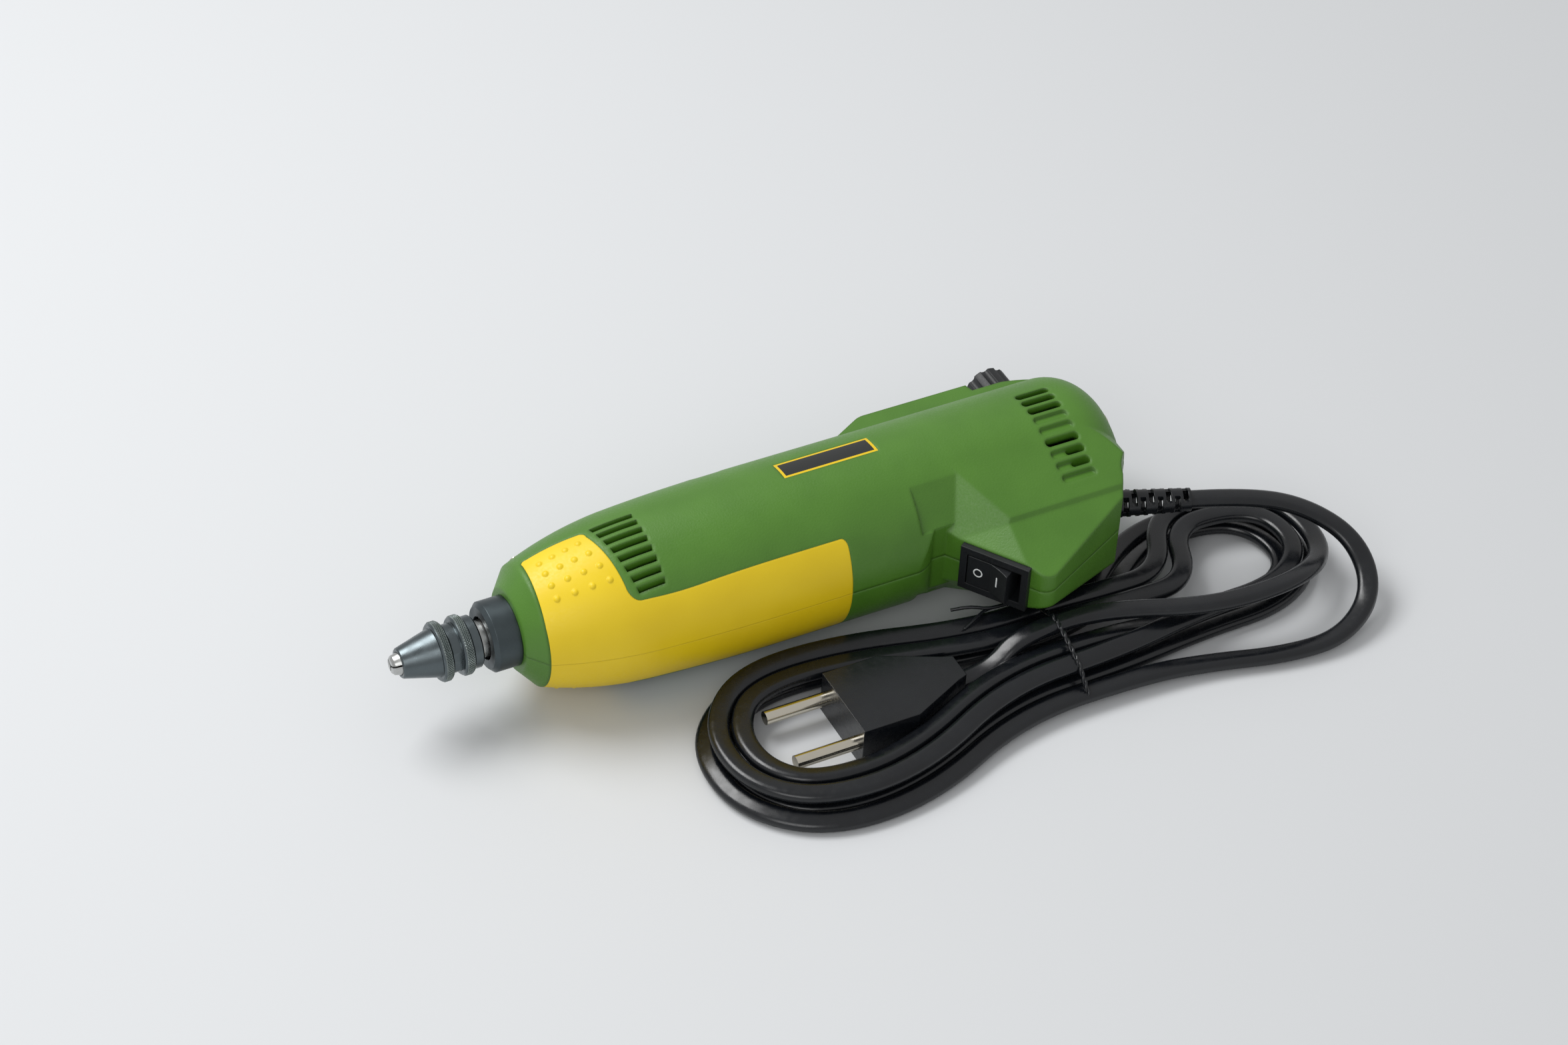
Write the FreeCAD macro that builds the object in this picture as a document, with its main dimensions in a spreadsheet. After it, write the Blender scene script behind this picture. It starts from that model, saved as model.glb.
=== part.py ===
"""Corded rotary tool, laid on its side, with its flat mains lead tied into a hank.

All sizes are millimetres. The parts are drawn in the tool's own frame: x is the station behind
the front face of the mounting collar, on the spindle axis, y is towards the speed dial and z is
up from the parting plane of the housing. Every part's Placement then carries it to the resting
frame, whose origin is on the floor under the middle of the tool.
"""
import FreeCAD, Part
import math
import os
import Sketcher

Vector = FreeCAD.Vector
doc = FreeCAD.newDocument("RotaryTool")
sheet = doc.addObject("Spreadsheet::Sheet", "Dims")


class Size:
    """A length of the sheet, with the expression that repeats it in the document."""

    def __init__(self, value, text):
        self.value = float(value)
        self.text = text

    def __float__(self):
        return self.value

    def joined(self, other, sign, value, swapped=False):
        mine = "(" + self.text + ")"
        theirs = "(" + other.text + ")" if isinstance(other, Size) else repr(float(other))
        text = theirs + sign + mine if swapped else mine + sign + theirs
        return Size(value, text)

    def __add__(self, other):
        return self.joined(other, " + ", self.value + float(other))

    def __radd__(self, other):
        return self.joined(other, " + ", float(other) + self.value, True)

    def __sub__(self, other):
        return self.joined(other, " - ", self.value - float(other))

    def __rsub__(self, other):
        return self.joined(other, " - ", float(other) - self.value, True)

    def __mul__(self, other):
        return self.joined(other, " * ", self.value * float(other))

    def __rmul__(self, other):
        return self.joined(other, " * ", float(other) * self.value, True)

    def __truediv__(self, other):
        return self.joined(other, " / ", self.value / float(other))

    def __neg__(self):
        return Size(-self.value, "-(" + self.text + ")")


class Dims:
    """The driving dimensions by name."""


DRIVING = (
    ("rest_x", -85.4, "tool frame to resting frame, along the spindle"),
    ("rest_y", 4.2, "tool frame to resting frame, across"),
    ("rest_z", 25.2, "height of the spindle axis over the floor"),
    ("collar_r", 10.0, "standard 20 mm mounting collar"),
    ("collar_length", 7.9, "collar that stands out of the housing"),
    ("sleeve_end", 34.0, "rear end of the bearing sleeve"),
    ("bearing_r", 8.0, "outer radius of both spindle bearings"),
    ("bearing_width", 5.0, "width of both spindle bearings"),
    ("spindle_r", 4.0, "spindle"),
    ("body_r", 25.2, "largest radius of the housing"),
    ("wall", 2.3, "housing wall"),
    ("nose_r", 11.9, "housing radius at its front face"),
    ("nose_start", 7.9, "station of the housing's front face"),
    ("shoulder_r", 17.4, "radius behind the nose chamfer"),
    ("shoulder_at", 12.4, "station behind the nose chamfer"),
    ("bulge_r", 23.9, "radius at the front vents"),
    ("bulge_at", 41.5, "station of the front vents' middle"),
    ("belly_at", 80.0, "station from which the housing is straight"),
    ("rear_at", 178.0, "station where the rear rounding starts"),
    ("rear_face", 190.3, "station of the rear face"),
    ("rear_r", 18.0, "radius of the flat rear face"),
    ("spine_half", 9.0, "half width of the spine"),
    ("spine_top", 31.9, "height of the spine over the axis"),
    ("dial_deck", 29.1, "height of the step that carries the dial"),
    ("dial_at", 176.9, "station of the dial's axis"),
    ("dial_r", 6.5, "speed dial"),
    ("dial_top", 38.5, "outer face of the dial over the axis"),
    ("dial_stem_r", 3.0, "stem of the dial"),
    ("heel_tip", 47.6, "heel, under the axis"),
    ("heel_tip_half", 5.4, "half width of the heel at its tip"),
    ("flank_at", 11.0, "where the heel's flanks leave the round body, under the axis"),
    ("flank_half", 22.7, "half width of the body there"),
    ("scoop_depth", 21.5, "finger scoop before the switch, from the axis"),
    ("grip_thick", 1.4, "soft grip pads"),
    ("badge_length", 29.0, "badge plate"),
    ("badge_width", 7.2, "badge plate"),
    ("badge_depth", 0.9, "badge plate"),
    ("lock_at", 20.6, "station of the spindle lock pin"),
    ("lock_head_r", 2.35, "head of the lock pin"),
    ("lock_top", 24.2, "top of the lock pin over the axis"),
    ("lock_travel", 3.0, "travel of the lock pin"),
    ("chuck_r", 8.2, "knurled rings of the chuck"),
    ("chuck_neck_r", 6.8, "neck of the chuck"),
    ("flats", 12.0, "width over the wrench flats"),
    ("cone_front_r", 4.3, "front of the chuck's cone"),
    ("cone_rear_r", 6.9, "rear of the chuck's cone"),
    ("jaw_bore_r", 0.5, "shank radius to which the jaws are set"),
    ("motor_r", 17.5, "motor can"),
    ("motor_start", 62.0, "front of the motor can"),
    ("motor_length", 57.0, "motor can"),
    ("shaft_r", 2.0, "motor shaft"),
    ("fan_r", 18.0, "cooling fan"),
    ("switch_length", 20.8, "flange of the switch frame"),
    ("switch_half", 7.5, "half width of the switch frame"),
    ("bail_wire_r", 1.0, "wire of the hanging bail"),
    ("bail_half", 7.4, "half width of the bail, to the wire's middle"),
    ("boot_length", 24.0, "strain relief outside the housing"),
    ("cord_d", 5.0, "round section with the area of the flat lead"),
    ("plug_length", 36.0, "plug body"),
    ("plug_width", 25.0, "plug body"),
    ("plug_thick", 13.4, "plug body"),
    ("pin_spacing", 18.6, "plug pins, middle to middle"),
    ("pin_r", 2.0, "plug pins"),
    ("pin_length", 19.0, "plug pins"),
)
for row, (alias, value, note) in enumerate(DRIVING, start=1):
    sheet.set("A%d" % row, alias)
    sheet.set("B%d" % row, str(value))
    sheet.setAlias("B%d" % row, alias)
    sheet.set("C%d" % row, note)
    setattr(Dims, alias, Size(value, "Dims." + alias))
doc.recompute()

nodes = {}


def bind(thing, prop, size):
    """Sets a property, and its expression where the size comes from the sheet."""
    if isinstance(size, Size):
        thing.setExpression(prop, size.text)
    elif prop == "Placement.Base.x":
        thing.Placement.Base.x = size
    elif prop == "Placement.Base.y":
        thing.Placement.Base.y = size
    elif prop == "Placement.Base.z":
        thing.Placement.Base.z = size
    else:
        setattr(thing, prop, size)


def node(label, thing, x=0.0, y=0.0, z=0.0, turn=0.0):
    """Names a finished piece and carries it from the tool frame to the resting frame."""
    thing.Label = label
    if turn:
        thing.Placement.Rotation = FreeCAD.Rotation(Vector(0, 0, 1), turn)
    bind(thing, "Placement.Base.x", Dims.rest_x + x)
    bind(thing, "Placement.Base.y", Dims.rest_y + y)
    bind(thing, "Placement.Base.z", Dims.rest_z + z)
    nodes[label] = thing
    return thing


# Sketches and bodies

def arc_centre(start, end, radius):
    """Middle of the short arc from start to end, which turns left where radius is positive."""
    chord = end - start
    rise = math.sqrt(max(radius * radius - chord.Length ** 2 / 4, 0))
    left = Vector(-chord.y, chord.x, 0).normalize()
    return (start + end) * 0.5 + left * math.copysign(rise, radius)


def angle_of(point, centre):
    return math.atan2(point.y - centre.y, point.x - centre.x)


def draw(sketch, outline):
    """A closed outline of (x, y) corners; a third number is the radius of the arc to the next one."""
    first = sketch.GeometryCount
    starts = []
    ends = []
    for i, corner in enumerate(outline):
        after = outline[(i + 1) % len(outline)]
        start = Vector(float(corner[0]), float(corner[1]), 0)
        end = Vector(float(after[0]), float(after[1]), 0)
        if len(corner) == 2:
            sketch.addGeometry(Part.LineSegment(start, end))
            starts.append(1)
            ends.append(2)
            continue
        radius = float(corner[2])
        centre = arc_centre(start, end, radius)
        circle = Part.Circle(centre, Vector(0, 0, 1), abs(radius))
        if radius > 0:
            arc = Part.ArcOfCircle(circle, angle_of(start, centre), angle_of(end, centre))
        else:
            arc = Part.ArcOfCircle(circle, angle_of(end, centre), angle_of(start, centre))
        sketch.addGeometry(arc)
        starts.append(1 if radius > 0 else 2)
        ends.append(2 if radius > 0 else 1)
    for i, corner in enumerate(outline):
        here = first + i
        after = (i + 1) % len(outline)
        sketch.addConstraint(Sketcher.Constraint("Coincident", here, ends[i], first + after, starts[after]))
        for kind, size in (("DistanceX", corner[0]), ("DistanceY", corner[1])):
            name = sketch.addConstraint(Sketcher.Constraint(kind, -1, 1, here, starts[i], float(size)))
            if isinstance(size, Size):
                sketch.setExpression("Constraints[%d]" % name, size.text)
        if len(corner) == 3:
            size = corner[2]
            name = sketch.addConstraint(Sketcher.Constraint("Radius", here, abs(float(size))))
            if isinstance(size, Size):
                sketch.setExpression("Constraints[%d]" % name, size.text if float(size) > 0 else (-size).text)


def draw_circle(sketch, x, y, radius):
    here = sketch.addGeometry(Part.Circle(Vector(float(x), float(y), 0), Vector(0, 0, 1), float(radius)))
    for kind, size in (("DistanceX", x), ("DistanceY", y)):
        name = sketch.addConstraint(Sketcher.Constraint(kind, -1, 1, here, 3, float(size)))
        if isinstance(size, Size):
            sketch.setExpression("Constraints[%d]" % name, size.text)
    name = sketch.addConstraint(Sketcher.Constraint("Radius", here, float(radius)))
    if isinstance(radius, Size):
        sketch.setExpression("Constraints[%d]" % name, radius.text)


def sketch_on(body, role, lift=0.0):
    """A sketch on one of the body's own planes, lifted along the plane's normal."""
    sketch = body.newObject("Sketcher::SketchObject", body.Name + "Sketch")
    plane = [p for p in body.Origin.OriginFeatures if p.Role == role][0]
    sketch.AttachmentSupport = [(plane, "")]
    sketch.MapMode = "FlatFace"
    if isinstance(lift, Size):
        sketch.setExpression("AttachmentOffset.Base.z", lift.text)
    elif lift:
        sketch.AttachmentOffset = FreeCAD.Placement(Vector(0, 0, lift), FreeCAD.Rotation())
    return sketch


def new_body(name):
    body = doc.addObject("PartDesign::Body", name)
    body.AllowCompound = True
    return body


def revolve(body, *outlines, axis="H_Axis"):
    """Turns outlines of (x, radius) corners about the X axis."""
    sketch = sketch_on(body, "XY_Plane")
    for outline in outlines:
        draw(sketch, outline)
    turned = body.newObject("PartDesign::Revolution", body.Name + "Turned")
    turned.Profile = sketch
    turned.ReferenceAxis = (sketch, [axis])
    turned.Angle = 360
    return body


def pad(body, role, outlines, length, lift=0.0, circles=()):
    """Raises outlines off a plane, from the height lift, by length."""
    sketch = sketch_on(body, role, lift)
    for outline in outlines:
        draw(sketch, outline)
    for circle in circles:
        draw_circle(sketch, *circle)
    raised = body.newObject("PartDesign::Pad", body.Name + "Pad")
    raised.Profile = sketch
    bind(raised, "Length", length)
    return raised


def pocket(body, role, outlines, depth, lift, circles=()):
    """Cuts outlines down from the height lift, by depth."""
    sketch = sketch_on(body, role, lift)
    for outline in outlines:
        draw(sketch, outline)
    for circle in circles:
        draw_circle(sketch, *circle)
    cut = body.newObject("PartDesign::Pocket", body.Name + "Pocket")
    cut.Profile = sketch
    bind(cut, "Length", depth)
    return cut


def rectangle(x_low, y_low, x_high, y_high):
    return [(x_low, y_low), (x_high, y_low), (x_high, y_high), (x_low, y_high)]


def obround(x_low, x_high, y, half):
    """A slot along x with round ends."""
    return [(x_low + half, y - half), (x_high - half, y - half, half * 1.0001),
            (x_high - half, y + half), (x_low + half, y + half, half * 1.0001)]


def joined(kind, name, pieces):
    """A Part boolean of two or more pieces."""
    if kind == "Part::Cut" or len(pieces) == 2:
        result = doc.addObject(kind, name)
        result.Base = pieces[0]
        result.Tool = pieces[1]
        return result
    result = doc.addObject(kind.replace("Part::", "Part::Multi"), name)
    result.Shapes = list(pieces)
    return result


def fuse(name, *pieces):
    return joined("Part::Fuse", name, pieces)


def common(name, *pieces):
    return joined("Part::Common", name, pieces)


def cut(name, base, *tools):
    tool = tools[0] if len(tools) == 1 else fuse(name + "Tools", *tools)
    return joined("Part::Cut", name, (base, tool))


def pin_along(name, axis, radius, length, x=0.0, y=0.0, z=0.0):
    """A plain cylinder along an axis, as a tool or a piece of a boolean."""
    piece = doc.addObject("Part::Cylinder", name)
    bind(piece, "Radius", radius)
    bind(piece, "Height", length)
    turns = {"x": FreeCAD.Rotation(Vector(0, 1, 0), 90), "y": FreeCAD.Rotation(Vector(1, 0, 0), -90),
             "z": FreeCAD.Rotation()}
    piece.Placement.Rotation = turns[axis]
    bind(piece, "Placement.Base.x", x)
    bind(piece, "Placement.Base.y", y)
    bind(piece, "Placement.Base.z", z)
    return piece


def block(name, low, high):
    """A box between two corners, as a tool or a piece of a boolean."""
    piece = doc.addObject("Part::Box", name)
    for prop, a, b in zip(("Length", "Width", "Height"), low, high):
        bind(piece, prop, b - a)
    for prop, a in zip("xyz", low):
        bind(piece, "Placement.Base." + prop, a)
    return piece


# Housing: a round moulded body with a spine for the dial and a heel for the switch

def body_outline(inset=0.0, start=None):
    """Half section of the round body, or of its hollow, from the axis outwards."""
    d = Dims
    front = d.nose_start if start is None else start
    return [
        (front, 0.0),
        (front, d.nose_r - inset),
        (d.shoulder_at, d.shoulder_r - inset, -110.0),
        (d.bulge_at, d.bulge_r - inset, -571.0),
        (d.belly_at, d.body_r - inset),
        (d.rear_at, d.body_r - inset, -14.4),
        (d.rear_face - 0.6 - inset, d.rear_r + 1.2 - inset),
        (d.rear_face - inset, d.rear_r - inset),
        (d.rear_face - inset, 0.0),
    ]


def round_body(name, inset=0.0):
    return revolve(new_body(name), body_outline(inset))


def hollow():
    """The room for the fan, motor and electronics."""
    d = Dims
    radius = d.body_r - d.wall
    return revolve(new_body("Hollow"), [
        (31.0, 0.0), (31.0, 19.8), (d.bulge_at, d.bulge_r - d.wall, -571.0), (d.belly_at, radius),
        (d.rear_at, radius, -9.2), (d.rear_face - d.wall - 1.0, 15.5), (d.rear_face - d.wall - 1.0, 0.0)])


FLANK_SLOPE = 0.451
FACET_TOP = (137.2, -13.5, 21.4)
FACET_STEP = (146.9, -30.7, 13.8)
FACET_FRONT = (133.8, -25.1, 8.3)
FACET_LOW = (145.5, -42.7, 7.9)


def beyond_facet(name, side, corners):
    """A block that fills the space in front of the plane through three corners."""
    a, b, c = [Vector(x, y, side * z) for x, y, z in corners]
    outward = (b - a).cross(c - a).normalize()
    if outward.z * side < 0:
        outward = outward * -1
    piece = block(name, (0.0, 0.0, 0.0), (120.0, 120.0, 60.0))
    turn = FreeCAD.Rotation(Vector(0, 0, 1), outward)
    piece.Placement = FreeCAD.Placement(a + turn.multVec(Vector(-60, -60, 0)), turn)
    return piece


def front_bevels():
    """What the heel lacks either side of the switch, where its front corner is drawn back."""
    cuts = []
    for side, name in ((1, "BevelUp"), (-1, "BevelDown")):
        upper = beyond_facet(name + "High", side, (FACET_FRONT, FACET_TOP, FACET_STEP))
        lower = beyond_facet(name + "Low", side, (FACET_FRONT, FACET_STEP, FACET_LOW))
        cuts.append(common(name, upper, lower))
    return cuts


def heel_and_spine():
    """Common of the cross section, the plan outline and the side outline, less the front bevels."""
    d = Dims
    section = new_body("HeelSection")
    pad(section, "YZ_Plane", [[
        (d.spine_top, -d.spine_half), (d.spine_top, d.spine_half), (15.0, d.spine_half),
        (-d.flank_at, d.flank_half), (-29.3, 14.45), (-29.9, 13.3), (-d.heel_tip, d.heel_tip_half),
        (-d.heel_tip, -d.heel_tip_half), (-29.9, -13.3), (-29.3, -14.45), (-d.flank_at, -d.flank_half),
        (15.0, -d.spine_half)]],
        100.0, 100.0)
    plan = new_body("HeelPlan")
    pad(plan, "XY_Plane", [[
        (112.0, 21.0), (119.0, 25.4), (129.0, 30.9, -7.0), (133.0, d.spine_top),
        (165.8, d.spine_top), (166.6, d.dial_deck), (176.0, d.dial_deck, -42.0), (184.6, 26.6, -12.0),
        (191.4, 19.0), (195.0, 5.5, -22.0), (195.2, -6.8, -14.0), (193.0, -13.2), (186.0, -22.0, 9.0),
        (183.6, -26.8), (180.8, -32.3), (152.0, -46.7, -4.5), (147.6, -45.7), (145.8, -43.1),
        (133.9, -26.1), (128.0, -17.7), (126.0, -9.0), (112.0, -9.0)]],
        60.0, -30.0)
    side = new_body("HeelSide")
    pad(side, "XZ_Plane", [[
        (105.0, -d.flank_half), (179.0, -d.flank_half, 19.0), (191.6, -9.0), (191.6, -5.6), (195.8, -5.0),
        (195.8, 5.0), (191.6, 5.6), (191.6, 9.0, 19.0), (179.0, d.flank_half), (105.0, d.flank_half)]],
        100.0, -50.0)
    return cut("Heel", common("HeelRaw", common("HeelTwo", section, plan), side), *front_bevels())


def finger_scoop():
    """The flat scoop in the round body before the switch, with a slanted cheek on either flank."""
    d = Dims
    piece = new_body("Scoop")
    pad(piece, "XY_Plane", [[
        (119.9, -25.3, 9.0), (126.6, -d.scoop_depth - 0.2), (134.5, -d.scoop_depth),
        (134.5, -34.0), (119.9, -34.0)]],
        60.0, -30.0)
    cheeks = new_body("ScoopCheeks")
    pad(cheeks, "YZ_Plane", [
        [(-d.scoop_depth, 11.0), (-9.0, 26.96), (-40.0, 26.96), (-40.0, 11.0)],
        [(-d.scoop_depth, -11.0), (-40.0, -11.0), (-40.0, -26.96), (-9.0, -26.96)]], 17.0, 122.4)
    return piece, cheeks


def scoop_backing():
    """Extra wall behind the scoop, outside the motor."""
    return cut("ScoopBacking", block("BackingBlank", (117.0, -30.0, -30.0), (141.0, -12.0, 30.0)),
               pin_along("BackingBore", "x", 18.6, 30.0, 114.0))


FRONT_SLOTS = 8
FRONT_SLOT_FIRST = 78.6
FRONT_SLOT_STEP = 7.8
REAR_SLOTS = 9
REAR_SLOT_FIRST_Y = 4.7
REAR_SLOT_STEP = 3.53
REAR_SLOT_AT = 171.1
REAR_SLOT_LENGTH = 10.6
REAR_SLOT_HALF = 1.2
REAR_SLOT_SHUT = {3: 1.0, 4: 1.0, 6: 0.45, 7: 0.45, 8: 1.0}


def front_slots(name, low, high):
    """Eight bars of air between ribs, on the flank, cut along the mould's opening direction."""
    piece = new_body(name)
    outlines = []
    for i in range(FRONT_SLOTS):
        angle = math.radians(FRONT_SLOT_FIRST + FRONT_SLOT_STEP * i)
        y = float(Dims.bulge_r) * math.cos(angle)
        half = 0.95 * math.sin(angle)
        start = 34.3 + 0.62 * i
        end = 46.4
        outlines.append([(start, y - half), (end, y - half), (end + 0.3, y + half), (start - 0.3, y + half)])
    pad(piece, "XY_Plane", outlines, high - low, low)
    return piece


def rear_slots(name, low, high, side):
    """Nine obround recesses in a row; most are open, some shut or half shut."""
    through = new_body(name + "Open")
    shallow = new_body(name + "Shut")
    open_outlines = []
    shut_outlines = []
    for i in range(REAR_SLOTS):
        y = REAR_SLOT_FIRST_Y - REAR_SLOT_STEP * i
        start = REAR_SLOT_AT - REAR_SLOT_LENGTH / 2
        end = REAR_SLOT_AT + REAR_SLOT_LENGTH / 2
        shut = REAR_SLOT_SHUT.get(i, 0.0)
        if shut < 1.0:
            open_outlines.append(obround(start + shut * REAR_SLOT_LENGTH, end, y, REAR_SLOT_HALF))
        if shut:
            shut_outlines.append((obround(start, end, y, REAR_SLOT_HALF), y))
    pad(through, "XY_Plane", open_outlines, high - low, low)
    for outline, y in shut_outlines:
        surface = flank_height(y) - 0.8
        pad(shallow, "XY_Plane", [outline], 6.0, surface if side > 0 else -surface - 6.0)
    return through, shallow


def flank_height(y):
    """Height of the body's or the heel's flank over the parting plane."""
    d = Dims
    if y > -float(d.flank_at):
        return math.sqrt(float(d.body_r) ** 2 - y * y)
    return float(d.flank_half) - FLANK_SLOPE * (-y - float(d.flank_at))


GRIP_PLAN = [
    (12.7, -30.0), (12.7, -14.0), (14.0, 4.6, -1.4), (15.8, 6.3, -70.0), (30.6, 5.4, -1.8), (32.1, 3.2, -140.0),
    (35.6, -14.6, 3.8), (39.2, -18.4, 150.0), (56.0, -19.4), (98.2, -19.4, -1.8), (100.0, -21.2), (100.0, -30.0)]
PIP_ROWS = 4
PIP_COLUMNS = 4
PIP_FIRST = 17.8
PIP_STEP = 3.8
PIP_SPREAD = 0.36
PIP_TOP_ANGLE = 5.0
PIP_ROW_ANGLE = 12.2
PIP_R = 1.2
PIP_SUNK = 0.75


def grip_window(name, low, high):
    piece = new_body(name)
    pad(piece, "XY_Plane", [GRIP_PLAN], high - low, low)
    return piece


def badge_window(name, low, high):
    d = Dims
    piece = new_body(name)
    pad(piece, "XY_Plane", [rectangle(90.6, 0.2, d.badge_length + 90.6, d.badge_width + 0.2)], high - low, low)
    return piece


SCREWS = ((24.0, -13.0), (26.8, 14.0), (129.2, 18.0), (129.2, -15.7), (166.0, -32.0))
SCREW_SEAT = -7.0
SCREW_HEAD_R = 2.7
SCREW_SHANK_R = 1.5
SCREW_END = 6.0
SCREW_COLUMN_R = 3.6


def skin(name, depth):
    """The outermost layer of the round body."""
    return cut(name, round_body(name + "Outer"), round_body(name + "Inner", depth))


def grip_pad(half, side):
    """A soft pad that fills its recess in one half of the housing."""
    low, high = (0.0, 32.0) if side > 0 else (-32.0, 0.0)
    window = grip_window(half + "GripWindow", low, high)
    return common(half + "Grip", skin(half + "GripSkin", Dims.grip_thick), window)


def shoulder_radius(x):
    """Radius of the housing between the nose chamfer and the front vents."""
    d = Dims
    start = Vector(float(d.shoulder_at), float(d.shoulder_r), 0)
    centre = arc_centre(start, Vector(float(d.bulge_at), float(d.bulge_r), 0), -110.0)
    return centre.y + math.sqrt(110.0 ** 2 - (x - centre.x) ** 2)


def grip_pips(half, side):
    """Round pips in a fan of four rows near the front of the pad."""
    pips = []
    for row in range(PIP_ROWS):
        angle = math.radians(PIP_TOP_ANGLE - PIP_ROW_ANGLE * row)
        out = Vector(0, math.sin(angle), side * math.cos(angle))
        for column in range(PIP_COLUMNS):
            x = PIP_FIRST + column * (PIP_STEP + PIP_SPREAD * row)
            pip = doc.addObject("Part::Sphere", half + "Pip")
            pip.Radius = PIP_R
            pip.Angle1 = 0.0
            pip.Placement = FreeCAD.Placement(out * (shoulder_radius(x) - PIP_SUNK) + Vector(x, 0, 0),
                                              FreeCAD.Rotation(Vector(0, 0, 1), out))
            pips.append(pip)
    return pips


def badge():
    return common("Badge", skin("BadgeSkin", Dims.badge_depth), badge_window("BadgeWindow", 10.0, 32.0))


def hollowed_form():
    """The outer form with everything cut that both halves share."""
    d = Dims
    outer = fuse("Outer", cut("ScoopedBody", round_body("RoundBody"), *finger_scoop()), heel_and_spine())
    columns = [pin_along("Column%d" % i, "z", SCREW_COLUMN_R, 44.0, x, y, -22.0)
               for i, (x, y) in enumerate(SCREWS[2:4])]
    room = cut("Room", hollow(), scoop_backing(), *columns)
    switch_room = block("SwitchRoom", (0.0, 0.0, 0.0), (18.2, 16.0, 13.2))
    switch_room.Placement = switch_place(Vector(-9.1, -0.5, -6.6))
    terminal_room = block("TerminalRoom", (0.0, 0.0, 0.0), (15.0, 7.5, 7.0))
    terminal_room.Placement = switch_place(Vector(-7.5, 14.5, -3.5))
    clamp_room = block("ClampRoom", (0.0, 0.0, 0.0), (8.0, 18.0, 9.0))
    clamp_room.Placement = turned_place(BOOT_START, BOOT_TURN, Vector(-22.0, -9.0, -2.5))
    bore = pin_along("NoseBore", "x", d.collar_r - 0.55, 32.0, d.nose_start - 1.0)
    groove = pin_along("FlangeGroove", "x", 13.1, 3.2, 13.9)
    lock_stem = pin_along("LockStemHole", "y", 1.5, 20.0, d.lock_at, 5.0)
    lock_head = pin_along("LockHeadHole", "y", d.lock_head_r + 0.3, 12.0, d.lock_at, 16.0)
    stem = pin_along("DialHole", "y", d.dial_stem_r + 0.3, 16.0, d.dial_at, 18.0)
    boot_seat = pin_along("BootSeat", "x", 4.2, 30.0)
    boot_seat.Placement = boot_place(-16.0).multiply(boot_seat.Placement)
    boot_flange = pin_along("BootFlangeSeat", "x", 6.5, 2.6)
    boot_flange.Placement = boot_place(-14.05).multiply(boot_flange.Placement)
    bail_hole = pin_along("BailHole", "z", d.bail_wire_r + 0.15, 20.0, BAIL_PIVOT[0], BAIL_PIVOT[1], -10.0)
    hollowed = cut("Hollowed", outer, room)
    fitted = cut("Fitted", hollowed, switch_room, terminal_room, clamp_room)
    return cut("Moulded", fitted, bore, groove, lock_stem, lock_head, stem, boot_seat, boot_flange, bail_hole)


def make_housing():
    """Two moulded halves, the two grip pads and the badge plate, all cut from one outer form."""
    solid = hollowed_form()
    for half, side, low, high in (("Upper", 1, 10.0, 32.0), ("Lower", -1, -32.0, -10.0)):
        through, shallow = rear_slots(half + "RearSlots", low, high, side)
        tools = [grip_pad(half, side), front_slots(half + "FrontSlots", low, high), through, shallow]
        if side > 0:
            tools.append(badge())
        for i, (x, y) in enumerate(SCREWS):
            if side < 0:
                tools.append(pin_along("Head%d" % i, "z", SCREW_HEAD_R + 0.2, 30.0 + SCREW_SEAT, x, y, -30.0))
            tools.append(pin_along(half + "Shank%d" % i, "z", SCREW_SHANK_R, 20.0, x, y, -14.0))
        bottom = 0.0 if side > 0 else -60.0
        space = block(half + "Space", (-20.0, -80.0, bottom), (240.0, 80.0, bottom + 60.0))
        node("housing_" + half.lower(), cut(half + "Half", common(half + "Blank", solid, space), *tools))
        pieces = [grip_pad(half, side)] + grip_pips(half, side)
        node("grip_" + half.lower(), joined("Part::Fuse", half + "GripPad", pieces))
    node("badge_plate", badge())


def make_screws():
    """Five long screws that hold the halves together, driven from the lower half."""
    screws = []
    for i, (x, y) in enumerate(SCREWS):
        head = pin_along("ScrewHead%d" % i, "z", SCREW_HEAD_R, 2.0, x, y, SCREW_SEAT - 2.0)
        shank = pin_along("ScrewShank%d" % i, "z", SCREW_SHANK_R - 0.02, SCREW_END - SCREW_SEAT, x, y, SCREW_SEAT)
        screws.append(fuse("Screw%d" % i, head, shank))
    node("housing_screws", joined("Part::Fuse", "HousingScrews", screws))


# Places of the pieces that stand at an angle

SWITCH_MIDDLE = (139.85, -34.6)
SWITCH_TURN = -55.0
BOOT_START = (183.2, -21.5)
BOOT_TURN = -19.0
BAIL_PIVOT = (193.0, -3.4)


def turned_place(origin, angle, offset):
    rotation = FreeCAD.Rotation(Vector(0, 0, 1), angle)
    return FreeCAD.Placement(Vector(origin[0], origin[1], 0) + rotation.multVec(offset), rotation)


def switch_place(offset):
    """Local x runs down the heel's front face, local y goes into the heel."""
    return turned_place(SWITCH_MIDDLE, SWITCH_TURN, offset)


def boot_place(along):
    return turned_place(BOOT_START, BOOT_TURN, Vector(along, 0, 0))


def node_at(label, thing, origin, angle):
    """A piece drawn about its own origin, which stands at a place of the tool frame."""
    return node(label, thing, origin[0], origin[1], 0.0, angle)


# Collar, bearings, spindle and chuck

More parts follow.
